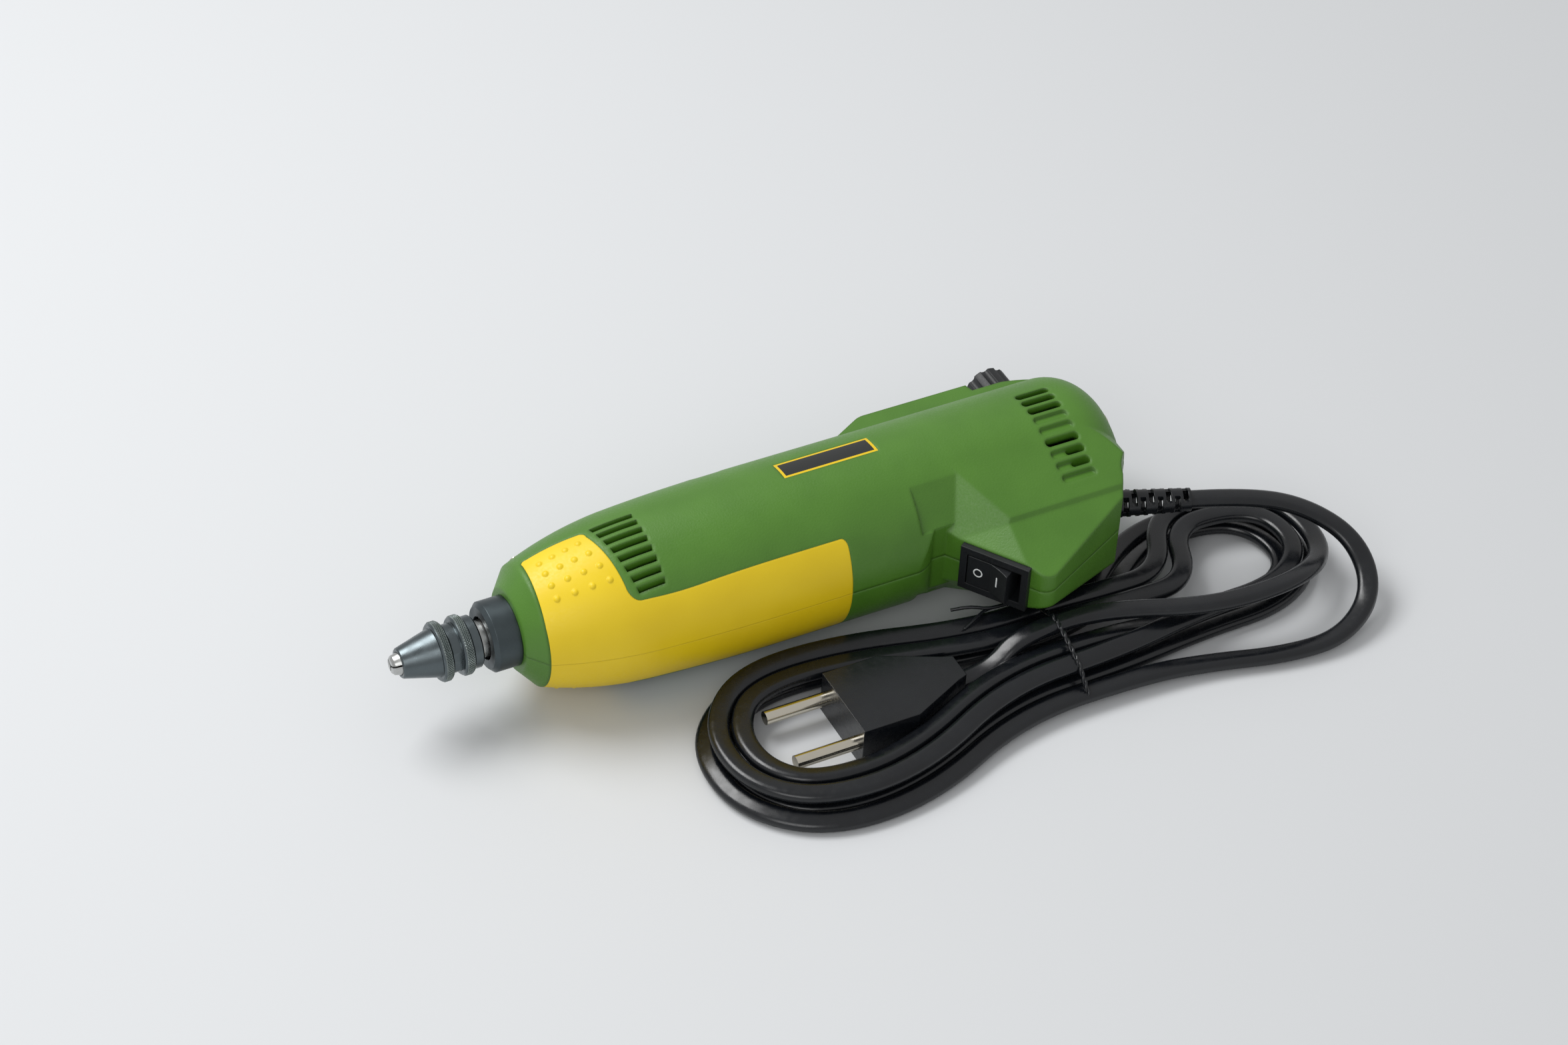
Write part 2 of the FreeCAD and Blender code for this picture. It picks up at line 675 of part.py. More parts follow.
def make_collar():
    """Steel sleeve that carries both spindle bearings; its bare front is the mounting collar."""
    d = Dims
    inner = d.collar_r - 0.6
    body = revolve(new_body("NoseCollar"), [
        (0.0, 6.2), (0.0, d.collar_r - 1.2), (1.2, d.collar_r), (d.collar_length - 0.05, d.collar_r),
        (d.collar_length - 0.05, inner), (14.0, inner), (14.0, 13.0), (17.0, 13.0),
        (17.0, inner), (d.sleeve_end, inner), (d.sleeve_end, d.bearing_r + 0.02), (27.6, d.bearing_r + 0.02),
        (27.6, 7.1), (6.4, 7.1), (6.4, d.bearing_r + 0.02), (1.3, d.bearing_r + 0.02), (1.3, 6.2)])
    doc.recompute()
    pocket(body, "XZ_Plane", [], 20.0, 0.0, [(d.lock_at, 0.0, 1.5)])
    node("nose_collar", body)


def ring_pair(label, outer, inner, starts):
    body = new_body(label)
    revolve(body, *[[(at, inner), (at + Dims.bearing_width, inner), (at + Dims.bearing_width, outer), (at, outer)]
                    for at in starts])
    node(label, body)


BEARING_STARTS = (1.35, 27.65)


def make_bearings():
    d = Dims
    ring_pair("bearing_outer_rings", d.bearing_r, d.bearing_r - 1.2, BEARING_STARTS)
    ring_pair("bearing_inner_rings", d.spindle_r + 1.2, d.spindle_r, BEARING_STARTS)
    balls = []
    count = 7
    for start in BEARING_STARTS:
        for i in range(count):
            angle = 2 * math.pi * i / count
            ball = doc.addObject("Part::Sphere", "Ball")
            ball.Radius = 0.75
            ball.Placement.Base = Vector(start + 2.5, 6.0 * math.cos(angle), 6.0 * math.sin(angle))
            balls.append(ball)
    node("bearing_balls", joined("Part::Fuse", "BearingBalls", balls))


def make_spindle():
    d = Dims
    body = revolve(new_body("Spindle"), [
        (-9.5, 0.0), (-9.5, d.spindle_r), (-1.9, d.spindle_r), (-1.9, 5.2), (1.3, 5.2),
        (1.3, d.spindle_r - 0.02), (32.7, d.spindle_r - 0.02), (32.7, 5.2), (35.0, 5.2),
        (35.0, d.spindle_r), (53.0, d.spindle_r), (53.0, 0.0)])
    doc.recompute()
    pocket(body, "XZ_Plane", [], 12.0, 6.0, [(d.lock_at, 0.0, 1.5)])
    node("spindle", body)


def make_chuck_body():
    """Rear of the keyless chuck: a plain shoulder, the held ring and the neck with two flats."""
    d = Dims
    body = revolve(new_body("ChuckBody"), [
        (-2.15, d.spindle_r + 0.02), (-2.15, 6.9), (-2.6, 7.4), (-4.9, 7.4), (-4.9, d.chuck_r - 0.4),
        (-5.3, d.chuck_r), (-7.65, d.chuck_r), (-8.05, d.chuck_r - 0.4), (-8.05, d.chuck_neck_r),
        (-10.8, d.chuck_neck_r), (-10.8, 5.2), (-12.6, 5.2), (-12.6, 0.0), (-9.7, 0.0), (-9.7, d.spindle_r + 0.02)])
    doc.recompute()
    flat = d.flats / 2
    pocket(body, "YZ_Plane", [rectangle(flat, -9.0, 9.0, 9.0), rectangle(-9.0, -9.0, -flat, 9.0)], 2.75, -8.05)
    node("chuck_body", body)


CONE_FRONT = -24.3
CONE_REAR = -14.1
SLEEVE_WALL = 1.0
SLEEVE_END = -11.1


def make_chuck_sleeve():
    """The ring and cone that the hand turns; the jaws run inside its tapered bore."""
    d = Dims
    front_bore = d.cone_front_r - SLEEVE_WALL
    rear_bore = d.cone_rear_r - SLEEVE_WALL
    body = revolve(new_body("ChuckSleeve"), [
        (CONE_FRONT, front_bore), (CONE_FRONT, d.cone_front_r - 0.3), (CONE_FRONT + 0.3, d.cone_front_r),
        (CONE_REAR, d.cone_rear_r), (CONE_REAR, d.chuck_r - 0.4), (CONE_REAR + 0.4, d.chuck_r),
        (SLEEVE_END - 0.4, d.chuck_r), (SLEEVE_END, d.chuck_r - 0.4), (SLEEVE_END, rear_bore), (CONE_REAR, rear_bore)])
    node("chuck_sleeve", body)


JAW_TIP = -26.6
JAW_LENGTH = 7.0
JAW_GAP = 0.5


def make_jaws():
    """Three jaws whose backs match the cone; they slide along it, one third of a turn apart."""
    d = Dims
    slope = (float(d.cone_rear_r) - float(d.cone_front_r)) / (CONE_REAR - CONE_FRONT)
    back_tip = float(d.cone_front_r) - SLEEVE_WALL - 0.15 + slope * (JAW_TIP - CONE_FRONT)
    back_rear = back_tip + slope * JAW_LENGTH
    for i in range(3):
        body = revolve(new_body("Jaw"), [
            (JAW_TIP, d.jaw_bore_r), (JAW_TIP + JAW_LENGTH, d.jaw_bore_r), (JAW_TIP + JAW_LENGTH, back_rear),
            (JAW_TIP + 0.6, back_tip + 0.6 * slope), (JAW_TIP, back_tip - 0.5)])
        sector = new_body("JawSector")
        reach = 12.0
        apex = JAW_GAP / 2 / math.sin(math.radians(60))
        rise = math.tan(math.radians(60)) * (reach - apex)
        pad(sector, "YZ_Plane", [[(apex, 0.0), (reach, -rise), (reach, rise)]], JAW_LENGTH + 2, JAW_TIP - 1)
        sector.Placement.Rotation = FreeCAD.Rotation(Vector(1, 0, 0), 90 + 120 * i)
        node("chuck_jaw_%d" % (i + 1), common("JawShape", body, sector))


# Drive train inside the housing

def make_fan():
    """Hub, back plate and curved blades that draw air out through the front vents."""
    d = Dims
    blades = 9
    body = revolve(new_body("Fan"), [
        (36.0, d.spindle_r), (36.0, 6.2), (43.4, 7.4), (44.4, d.fan_r), (45.6, d.fan_r), (45.6, d.spindle_r)])
    pieces = [body]
    for i in range(blades):
        blade = new_body("FanBlade")
        pad(blade, "YZ_Plane", [[(5.4, -0.5), (11.5, 1.6), (d.fan_r - 0.4, 1.8), (d.fan_r - 0.4, 2.8),
                                 (11.0, 2.7), (5.4, 0.6)]], 8.0, 37.2)
        blade.Placement.Rotation = FreeCAD.Rotation(Vector(1, 0, 0), 360.0 * i / blades)
        pieces.append(blade)
    node("cooling_fan", joined("Part::Fuse", "CoolingFan", pieces))


def make_coupling():
    d = Dims
    body = revolve(new_body("Coupling"), [
        (48.0, d.spindle_r), (48.0, 8.0), (49.0, 9.0), (57.0, 9.0), (58.0, 8.0), (58.0, d.shaft_r),
        (53.2, d.shaft_r),
        (53.2, d.spindle_r)])
    node("shaft_coupling", body)


def make_motor():
    """Can with two magnets, end bell with brushes, and the armature that turns between them."""
    d = Dims
    start = d.motor_start
    end = d.motor_start + d.motor_length
    can = revolve(new_body("MotorCan"), [
        (start - 2.5, d.shaft_r + 0.2), (start - 2.5, 6.5), (start, 6.5), (start, d.motor_r - 1.5),
        (start + 1.5, d.motor_r), (end, d.motor_r), (end, d.motor_r - 1.4), (start + 1.6, d.motor_r - 1.4),
        (start + 1.6, d.shaft_r + 0.2)])
    node("motor_can", can)
    magnet_ring = revolve(new_body("MagnetRing"), [
        (start + 9.0, 13.0), (start + 44.0, 13.0), (start + 44.0, d.motor_r - 1.45), (start + 9.0, d.motor_r - 1.45)])
    gap = block("MagnetGap", (60.0, -5.0, -20.0), (125.0, 5.0, 20.0))
    node("motor_magnets", cut("Magnets", magnet_ring, gap))
    bell = revolve(new_body("EndBell"), [
        (end + 0.05, d.shaft_r + 0.2), (end + 0.05, d.motor_r), (end + 4.0, d.motor_r - 1.0),
        (end + 4.0, 7.0), (end + 6.0, 6.0), (end + 6.0, d.shaft_r + 0.2)])
    node("motor_end_bell", bell)
    shaft = revolve(new_body("MotorShaft"), [
        (53.3, 0.0), (53.3, d.shaft_r - 0.02), (end + 8.0, d.shaft_r - 0.02), (end + 8.0, 0.0)])
    node("motor_shaft", shaft)
    core = revolve(new_body("ArmatureCore"), [
        (start + 10.0, d.shaft_r), (start + 10.0, 12.4), (start + 42.0, 12.4), (start + 42.0, d.shaft_r)])
    slots = [slot_tool(i) for i in range(ARMATURE_SLOTS)]
    node("armature_core", cut("Armature", core, *slots))
    winding = revolve(new_body("Winding"),
                      [(start + 4.5, 4.2), (start + 4.5, 9.5), (start + 9.95, 11.0), (start + 9.95, 4.2)],
                      [(start + 42.05, 4.2), (start + 42.05, 11.0), (start + 46.2, 9.0), (start + 46.2, 4.2)])
    node("armature_windings", winding)
    ring = revolve(new_body("Commutator"), [
        (start + 46.4, d.shaft_r), (start + 46.4, 7.0), (start + 47.6, 7.0), (start + 47.6, 5.6),
        (start + 55.5, 5.6), (start + 55.5, d.shaft_r)])
    node("commutator", ring)


ARMATURE_SLOTS = 5


def slot_tool(i):
    tool = new_body("ArmatureSlot")
    pad(tool, "YZ_Plane", [[(7.0, -2.0), (11.4, -2.6), (11.4, -0.8), (14.0, -0.8), (14.0, 0.8), (11.4, 0.8),
                            (11.4, 2.6), (7.0, 2.0)]], 40.0, 70.0)
    tool.Placement.Rotation = FreeCAD.Rotation(Vector(1, 0, 0), 360.0 * i / ARMATURE_SLOTS)
    return tool


def make_brushes():
    """Two carbon brushes in brass holders, either side of the commutator."""
    holders = []
    brushes = []
    x = float(Dims.motor_start) + 51.5
    for side in (1, -1):
        low = 6.6 if side > 0 else -14.5
        high = 14.5 if side > 0 else -6.6
        shell = block("HolderShell", (x - 3.2, low, -2.6), (x + 3.2, high, 2.6))
        room = block("HolderRoom", (x - 2.3, low - 1.0, -1.7), (x + 2.3, high + 1.0, 1.7))
        holders.append(cut("Holder", shell, room))
        near, far = (5.7, 13.0) if side > 0 else (-13.0, -5.7)
        brushes.append(block("Brush", (x - 2.2, near, -1.6), (x + 2.2, far, 1.6)))
    node("brush_holders", joined("Part::Fuse", "BrushHolders", holders))
    node("carbon_brushes", joined("Part::Fuse", "CarbonBrushes", brushes))


# Electrics and controls

def make_electronics():
    board = new_body("CircuitBoard")
    pad(board, "XY_Plane", [rectangle(133.4, -15.5, 158.0, 17.5)], 1.6, -0.8, [])
    node("circuit_board", board)
    parts = [pin_along("Capacitor", "x", 5.0, 13.0, 134.5, 8.0, 5.82),
             block("Choke", (148.5, 2.0, 0.82), (157.5, 13.0, 9.0)),
             block("Triac", (135.5, -14.0, 0.82), (144.5, -12.0, 10.0)),
             block("Bridge", (146.5, -12.0, 0.82), (157.0, -7.0, 6.5))]
    node("board_components", joined("Part::Fuse", "BoardComponents", parts))
    d = Dims
    case = block("PotCase", (d.dial_at - 5.5, 9.0, -5.5), (d.dial_at + 5.5, 15.0, 5.5))
    neck = pin_along("PotNeck", "y", 2.4, 1.5, d.dial_at, 15.0)
    node("speed_potentiometer", fuse("Potentiometer", case, neck))


DIAL_FLUTES = 9


def make_dial():
    """Fluted knob on a stem that reaches down to the potentiometer."""
    d = Dims
    base = d.dial_deck + 0.35
    knob = pin_along("DialKnob", "y", d.dial_r, d.dial_top - base, d.dial_at, base)
    stem = pin_along("DialStem", "y", d.dial_stem_r, base - 16.8, d.dial_at, 16.8)
    flutes = []
    for i in range(DIAL_FLUTES):
        angle = 2 * math.pi * (i + 0.5) / DIAL_FLUTES
        flutes.append(pin_along("Flute", "y", 1.5, 9.5, d.dial_at + 7.35 * math.cos(angle), d.dial_deck + 1.2,
                                7.35 * math.sin(angle)))
    node("speed_dial", cut("Dial", fuse("DialBlank", knob, stem), *flutes))


ROCKER_PIVOT = (0.0, 3.0)
ROCKER_TILT = 12.0
TRUNNION_R = 1.2


def make_switch():
    """Flanged frame in the heel's front face, with a rocker that tilts between O and I."""
    d = Dims
    half = d.switch_length / 2
    frame = new_body("SwitchFrame")
    pad(frame, "XY_Plane", [rectangle(-half, -1.9, half, -0.02)], d.switch_half * 2, -d.switch_half)
    pad(frame, "XY_Plane", [rectangle(-9.0, -0.02, 9.0, 14.0)], 13.0, -6.5)
    doc.recompute()
    pocket(frame, "XZ_Plane", [rectangle(-8.3, -5.3, 8.3, 5.3)], 12.4, 2.4)
    pocket(frame, "XY_Plane", [], 12.4, 6.2, [(*ROCKER_PIVOT, TRUNNION_R + 0.06)])
    node_at("switch_frame", frame, SWITCH_MIDDLE, SWITCH_TURN)
    rocker = new_body("Rocker")
    pad(rocker, "XY_Plane", [[(-6.5, -1.8), (-6.7, -3.5), (0.0, -2.1, -22.0), (6.7, -3.5), (6.5, -1.8), (5.4, 4.0),
                              (2.0, 6.5), (-2.0, 6.5), (-5.4, 4.0)]], 10.0, -5.0)
    pad(rocker, "XY_Plane", [], 12.0, -6.0, [(*ROCKER_PIVOT, TRUNNION_R)])
    turn = FreeCAD.Rotation(Vector(0, 0, 1), -ROCKER_TILT)
    tilt = FreeCAD.Placement(Vector(0, 0, 0), turn, Vector(*ROCKER_PIVOT, 0))
    tilted = doc.addObject("Part::Compound", "RockerTilted")
    rocker.Placement = tilt
    tilted.Links = [rocker]
    node_at("switch_rocker", tilted, SWITCH_MIDDLE, SWITCH_TURN)
    tags = [block("Tag", (x - 0.4, 14.05, -2.4), (x + 0.4, 19.0, 2.4)) for x in (-5.5, 5.5)]
    node_at("switch_terminals", joined("Part::Fuse", "Terminals", tags), SWITCH_MIDDLE, SWITCH_TURN)


def make_lock():
    """Spindle lock: a steel button whose stem drops into the hole in the spindle."""
    d = Dims
    head = pin_along("LockHead", "y", d.lock_head_r, d.lock_top - 20.2, d.lock_at, 20.2)
    stem = pin_along("LockStem", "y", 1.2, 15.6, d.lock_at, 4.7)
    node("spindle_lock_pin", fuse("LockPin", head, stem))


def make_bail():
    """Wire bail hinged in the boss at the rear; it lies against the rear face."""
    d = Dims
    x, y = BAIL_PIVOT
    half = float(d.bail_half)
    inner = 3.4
    radius = float(d.bail_wire_r)
    points = [(x, y, -inner), (x, y, -half), (x + 3.4, y + 7.0, -half), (x + 2.6, y + 16.0, -half),
              (x + 2.6, y + 16.0, half), (x + 3.4, y + 7.0, half), (x, y, half), (x, y, inner)]
    wire = rounded_wire([Vector(*p) for p in points], [1.6, 9.0, 3.4, 3.4, 9.0, 1.6])
    piece = doc.addObject("Part::Feature", "Bail")
    piece.Shape = swept(wire, round_section(wire, radius))
    node("hanging_bail", piece)


# Wires and tubes

def rounded_wire(points, radii):
    """Straight runs joined by tangent arcs of the given radii."""
    edges = []
    here = points[0]
    for i in range(1, len(points) - 1):
        back = (points[i - 1] - points[i]).normalize()
        ahead = (points[i + 1] - points[i]).normalize()
        half_turn = (math.pi - back.getAngle(ahead)) / 2
        reach = radii[i - 1] * math.tan(half_turn)
        start = points[i] + back * reach
        end = points[i] + ahead * reach
        middle = points[i] + (back + ahead).normalize() * (radii[i - 1] / math.cos(half_turn) - radii[i - 1])
        edges.append(Part.LineSegment(here, start).toShape())
        edges.append(Part.Arc(start, middle, end).toShape())
        here = end
    edges.append(Part.LineSegment(here, points[-1]).toShape())
    return Part.Wire(edges)


def round_section(wire, radius):
    start = wire.OrderedVertexes[0].Point
    tangent = wire.OrderedEdges[0].tangentAt(wire.OrderedEdges[0].FirstParameter)
    return Part.Wire(Part.Circle(start, tangent, radius).toShape())


def swept(wire, section):
    """A solid pipe of one section along a smooth wire."""
    shell = Part.BRepOffsetAPI.MakePipeShell(wire)
    shell.add(section)
    shell.build()
    shell.makeSolid()
    return shell.shape()


def route_radii(points):
    """The largest radius that each corner's two runs allow."""
    radii = []
    for i in range(1, len(points) - 1):
        back = points[i - 1] - points[i]
        ahead = points[i + 1] - points[i]
        turn = math.pi - back.getAngle(ahead)
        radii.append(0.45 * min(back.Length, ahead.Length) / math.tan(turn / 2))
    return radii


def tube(label, route):
    """A free stretch of the lead along a route chosen by hand."""
    points = [Vector(*p) for p in route]
    radii = route_radii(points)
    wire = rounded_wire(points, radii)
    piece = doc.addObject("Part::Feature", label + "_tube")
    piece.Shape = swept(wire, round_section(wire, float(Dims.cord_d) / 2))
    expected = math.pi * float(Dims.cord_d) ** 2 / 4 * wire.Length
    print("%s: length %.0f, radii %s, volume over section times length %.3f"
          % (label, wire.Length, " ".join("%.0f" % r for r in radii), piece.Shape.Volume / expected))
    node(label, piece)
    return wire.Length


# The hank: flat loops, drawn in at the waist, two turns inwards on the floor and two outwards on top

FLOOR = -25.2
LAYER_ONE = FLOOR + 2.55
LAYER_TWO = LAYER_ONE + 6.0
LAYER_THREE = LAYER_TWO + 6.9
WAIST_LIFT = 1.6
HANK_PITCH = 6.0
HANK_FAN = 6.4
LEFT_FAN = 6.0
WAIST = (150.0, -51.0)
WAIST_HALF = 16.9
RIGHT_LOBE = (-36.5, 26.5)
RIGHT_END = 244.0
RIGHT_WIDE = 212.0
LEFT_LOBE = (-53.0, 31.0)
LEFT_END = 44.0
LEFT_WIDE = 77.0
HANK_OUT = Vector(150.0, -49.2, -10.6)
HEEL_PASS = 182.0
RIGHT_HIGH = (216.5, -16.8)
PASS_SHIFT = 5.5
HIGH_SHIFT = 1.5
EAST = Vector(1, 0, 0)
WEST = Vector(-1, 0, 0)


def hank_spot(place, inset, height):
    """Place and heading of the lead at an eighth of a turn, by its inset from the outer loop."""
    squeeze = HANK_PITCH * inset
    right_y, right_half = RIGHT_LOBE
    left_y, left_half = LEFT_LOBE
    x, y, heading = (
        (WAIST[0], WAIST[1] - WAIST_HALF + squeeze, WEST),
        (LEFT_WIDE - 1.4 * inset, left_y - left_half + squeeze, WEST),
        (LEFT_END + LEFT_FAN * inset, left_y, Vector(0, 1, 0)),
        (LEFT_WIDE - 1.4 * inset, left_y + left_half - squeeze, EAST),
        (WAIST[0], WAIST[1] + WAIST_HALF - squeeze, EAST),
        (RIGHT_WIDE + 2.2 * inset, right_y + right_half - squeeze, EAST),
        (RIGHT_END - HANK_FAN * inset, right_y, Vector(0, -1, 0)),
        (RIGHT_WIDE, right_y - right_half + squeeze, WEST),
    )[place]
    return Vector(x, y, height + (WAIST_LIFT if place in (0, 4) else 0.0)), heading


def hank_keys():
    keys = []
    for step in range(32):
        low = step < 16
        inset = step / 8.0 if low else 2.2 - (step - 16) * 1.1 / 8
        height = LAYER_ONE if low else LAYER_THREE if step == 31 else LAYER_TWO
        if step in (21, 29):
            shift = inset - 0.6
            lifted = LAYER_TWO + WAIST_LIFT / 2
            keys.append((Vector(HEEL_PASS + PASS_SHIFT * shift, keys[-1][0].y - 0.5, lifted), EAST))
            high_y = RIGHT_HIGH[1] - HANK_PITCH * shift
            keys.append((Vector(RIGHT_HIGH[0] + HIGH_SHIFT * shift, high_y, LAYER_TWO), EAST))
        else:
            keys.append(hank_spot(step % 8, inset, height))
    keys.append((HANK_OUT, WEST))
    return keys


def arc_from(start, heading, end):
    """The arc that leaves start along heading and reaches end."""
    chord = end - start
    along = Vector(chord).normalize()
    side = heading - along * heading.dot(along)
    if side.Length < 1e-6:
        return Part.LineSegment(start, end).toShape()
    rise = chord.Length / 2 * math.tan(heading.getAngle(along) / 2)
    return Part.Arc(start, (start + end) * 0.5 + side.normalize() * rise, end).toShape()


def biarc(start, heading, end, final):
    """Two tangent arcs from a place and heading to another."""
    chord = end - start
    total = heading + final
    a = 2 * (1 - heading.dot(final))
    b = 2 * chord.dot(total)
    c = -chord.dot(chord)
    reach = -c / b if abs(a) < 1e-9 else (-b + math.sqrt(b * b - 4 * a * c)) / (2 * a)
    meeting = (start + heading * reach + end - final * reach) * 0.5
    second = arc_from(end, final * -1, meeting)
    middle = second.valueAt((second.FirstParameter + second.LastParameter) / 2)
    return [arc_from(start, heading, meeting), Part.Arc(meeting, middle, end).toShape()]


def hank_wire():
    keys = hank_keys()
    edges = []
    for (start, heading), (end, final) in zip(keys[:-1], keys[1:]):
        edges.extend(biarc(start, heading, end, final))
    return Part.Wire(edges)


def least_gap(wire, diameter, spacing=3.0):
    """Smallest distance between turns of the wire, less the diameter, measured on points."""
    points = wire.discretize(Distance=spacing)
    skip = int(3 * diameter / spacing) + 2
    least = 1e9
    where = points[0]
    for i, a in enumerate(points):
        for b in points[i + skip:]:
            if a.distanceToPoint(b) < least:
                least = a.distanceToPoint(b)
                where = a
    return least - diameter, where


def make_hank():
    wire = hank_wire()
    section = round_section(wire, float(Dims.cord_d) / 2)
    piece = doc.addObject("Part::Feature", "Hank")
    piece.Shape = swept(wire, section)
    expected = math.pi * float(Dims.cord_d) ** 2 / 4 * wire.Length
    gap, where = least_gap(wire, float(Dims.cord_d))
    print("cord_hank: length %.0f, least gap %.2f at %.0f %.0f, volume over section times length %.3f"
          % (wire.Length, gap, where.x, where.y, piece.Shape.Volume / expected))
    node("cord_hank", piece)
    make_tie(wire)
    return wire.Length


# Lead, tail, tie, plug and strain relief

def boot_point(along):
    return boot_place(along).Base


LEAD_ROUTE = ((238.0, -41.0, -4.5), (248.5, -53.0, -11.0), (246.0, -68.0, -18.0), (231.0, -77.0, -22.2),
              (212.0, -76.0, -22.65), (191.0, -70.4, -22.3), (170.5, -67.9, -21.1))


def make_lead():
    end = boot_point(float(Dims.boot_length))
    turn = boot_point(float(Dims.boot_length) + 17.0)
    start = hank_keys()[0][0]
    return tube("cord_lead", [(end.x, end.y, end.z), (turn.x, turn.y, turn.z)] + list(LEAD_ROUTE)
                + [(start.x, start.y, start.z)])


PLUG_REAR = (120.0, -51.8, -18.45)


def make_tail():
    x, y, z = PLUG_REAR
    out = HANK_OUT
    route = [(out.x, out.y, out.z), (out.x - 10.0, out.y, out.z), (x + 10.0, y, z), (x, y, z)]
    return tube("cord_tail", route)


def make_plug():
    """Flat two-pin plug that lies inside the hank's left lobe, pins to the front."""
    d = Dims
    x, y, z = PLUG_REAR
    half = float(d.plug_width) / 2
    front = x - float(d.plug_length)
    body = new_body("PlugBody")
    pad(body, "XY_Plane", [[
        (front, y - half), (front + 17.0, y - half), (x - 3.0, y - 5.0), (x, y - 4.0), (x, y + 4.0),
        (x - 3.0, y + 5.0), (front + 17.0, y + half), (front, y + half)]], d.plug_thick, FLOOR + 0.05)
    node("plug_body", body)
    offset = float(d.pin_spacing) / 2
    tip = front - float(d.pin_length)
    pins = [pin_along("PlugPin", "x", d.pin_r, d.pin_length, tip, y + side * offset, z)
            for side in (1, -1)]
    node("plug_pins", joined("Part::Fuse", "PlugPins", pins))


TIE_AT = 151.5
TIE_R = 0.5


def bundle_at(wire, station):
    """Where the wire crosses a station, as points in the (y, z) plane."""
    found = []
    points = wire.discretize(Distance=1.0)
    for a, b in zip(points[:-1], points[1:]):
        if (a.x - station) * (b.x - station) <= 0 and a.x != b.x:
            share = (station - a.x) / (b.x - a.x)
            found.append((a.y + share * (b.y - a.y), a.z + share * (b.z - a.z)))
    return found


def hull(points):
    """Corners of the convex hull, turning left."""
    points = sorted(points)
    sides = []
    for run in (points, points[::-1]):
        line = []
        for p in run:
            while len(line) > 1 and ((line[-1][0] - line[-2][0]) * (p[1] - line[-2][1])
                                     - (line[-1][1] - line[-2][1]) * (p[0] - line[-2][0])) <= 0:
                line.pop()
            line.append(p)
        sides.extend(line[:-1])
    return sides


def make_tie(wire):
    """Wire tie that hugs the waist of the hank, with its two ends twisted together on top."""
    first = hank_keys()[0][0]
    corners = hull(bundle_at(wire, TIE_AT) + [(first.y, first.z)])
    reach = float(Dims.cord_d) / 2 + TIE_R + 0.2
    edges = []
    outs = []
    for i, here in enumerate(corners):
        after = corners[(i + 1) % len(corners)]
        run = Vector(0, after[0] - here[0], after[1] - here[1]).normalize()
        outs.append(Vector(0, run.z, -run.y) * reach)
    for i, here in enumerate(corners):
        middle = Vector(TIE_AT, here[0], here[1])
        after = corners[(i + 1) % len(corners)]
        before, out = outs[i - 1], outs[i]
        crown = (before + out).normalize() * reach
        edges.append(Part.Arc(middle + before, middle + crown, middle + out).toShape())
        edges.append(Part.LineSegment(middle + out, Vector(TIE_AT, after[0], after[1]) + out).toShape())
    ring = Part.Wire(edges)
    start = edges[0].firstVertex().Point
    section = Part.Wire(Part.Circle(start, edges[0].tangentAt(edges[0].FirstParameter), TIE_R).toShape())
    loop = doc.addObject("Part::Feature", "TieLoop")
    loop.Shape = swept(ring, section)
    top = max(corners, key=lambda p: p[1])
    ends = []
    for side in (1, -1):
        points = [(TIE_AT + 0.3, top[0] - 6.0, top[1] + reach - 0.6), (TIE_AT - 8.0, top[0] - 8.0, top[1] + reach + 1.4),
                  (TIE_AT - 16.0, top[0] - 7.5 + 2.2 * side, top[1] + reach + 1.0 - 0.8 * side),
                  (TIE_AT - 24.0, top[0] - 7.0 + 6.0 * side, top[1] + reach - 0.5 - side)]
        route = [Vector(*p) for p in points]
        end = doc.addObject("Part::Feature", "TieEnd")
        end_wire = rounded_wire(route, route_radii(route))
        end.Shape = swept(end_wire, round_section(end_wire, TIE_R))
        ends.append(end)
    node("hank_tie", joined("Part::Fuse", "Tie", [loop] + ends))


def make_boot():
    """Tapered, slotted strain relief that leaves the housing low at the rear."""
    d = Dims
    body = revolve(new_body("Boot"), [
        (-14.0, 2.55), (-14.0, 6.4), (-11.5, 6.4), (-11.5, 4.1), (0.0, 4.1), (d.boot_length, 3.4), (d.boot_length, 2.55)])
    slots = []
    for i in range(4):
        at = 4.0 + 5.0 * i
        for low, high in ((1.6, 8.0), (-8.0, -1.6)):
            slots.append(block("BootSlot", (at, low, -8.0), (at + 1.6, high, 8.0)))
            slots.append(block("BootSlotSide", (at + 2.5, -8.0, low), (at + 4.1, 8.0, high)))
    node_at("strain_relief", cut("BootSlotted", body, *slots), BOOT_START, BOOT_TURN)


def make_clamp():
    """Bridge and two screws that grip the lead inside the housing, and the grommet's stub of lead."""
    bridge = block("ClampBar", (-21.0, -8.0, 2.6), (-16.0, 8.0, 5.0))
    foot_low = block("ClampFootLow", (-21.0, -8.0, -2.5), (-16.0, -4.4, 2.6))
    foot_high = block("ClampFootHigh", (-21.0, 4.4, -2.5), (-16.0, 8.0, 2.6))
    holes = [pin_along("ClampHole", "z", 1.1, 8.0, -18.5, y, -2.8) for y in (-6.2, 6.2)]
    blank = fuse("ClampBlank", bridge, foot_low, foot_high)
    node_at("cord_clamp", cut("Clamp", blank, *holes), BOOT_START, BOOT_TURN)
    screws = []
    for y in (-6.2, 6.2):
        head = pin_along("ClampHead", "z", 1.5, 1.2, -18.5, y, 5.02)
        shank = pin_along("ClampShank", "z", 1.08, 7.0, -18.5, y, -1.97)
        screws.append(fuse("ClampScrew", head, shank))
    node_at("clamp_screws", fuse("ClampScrews", *screws), BOOT_START, BOOT_TURN)


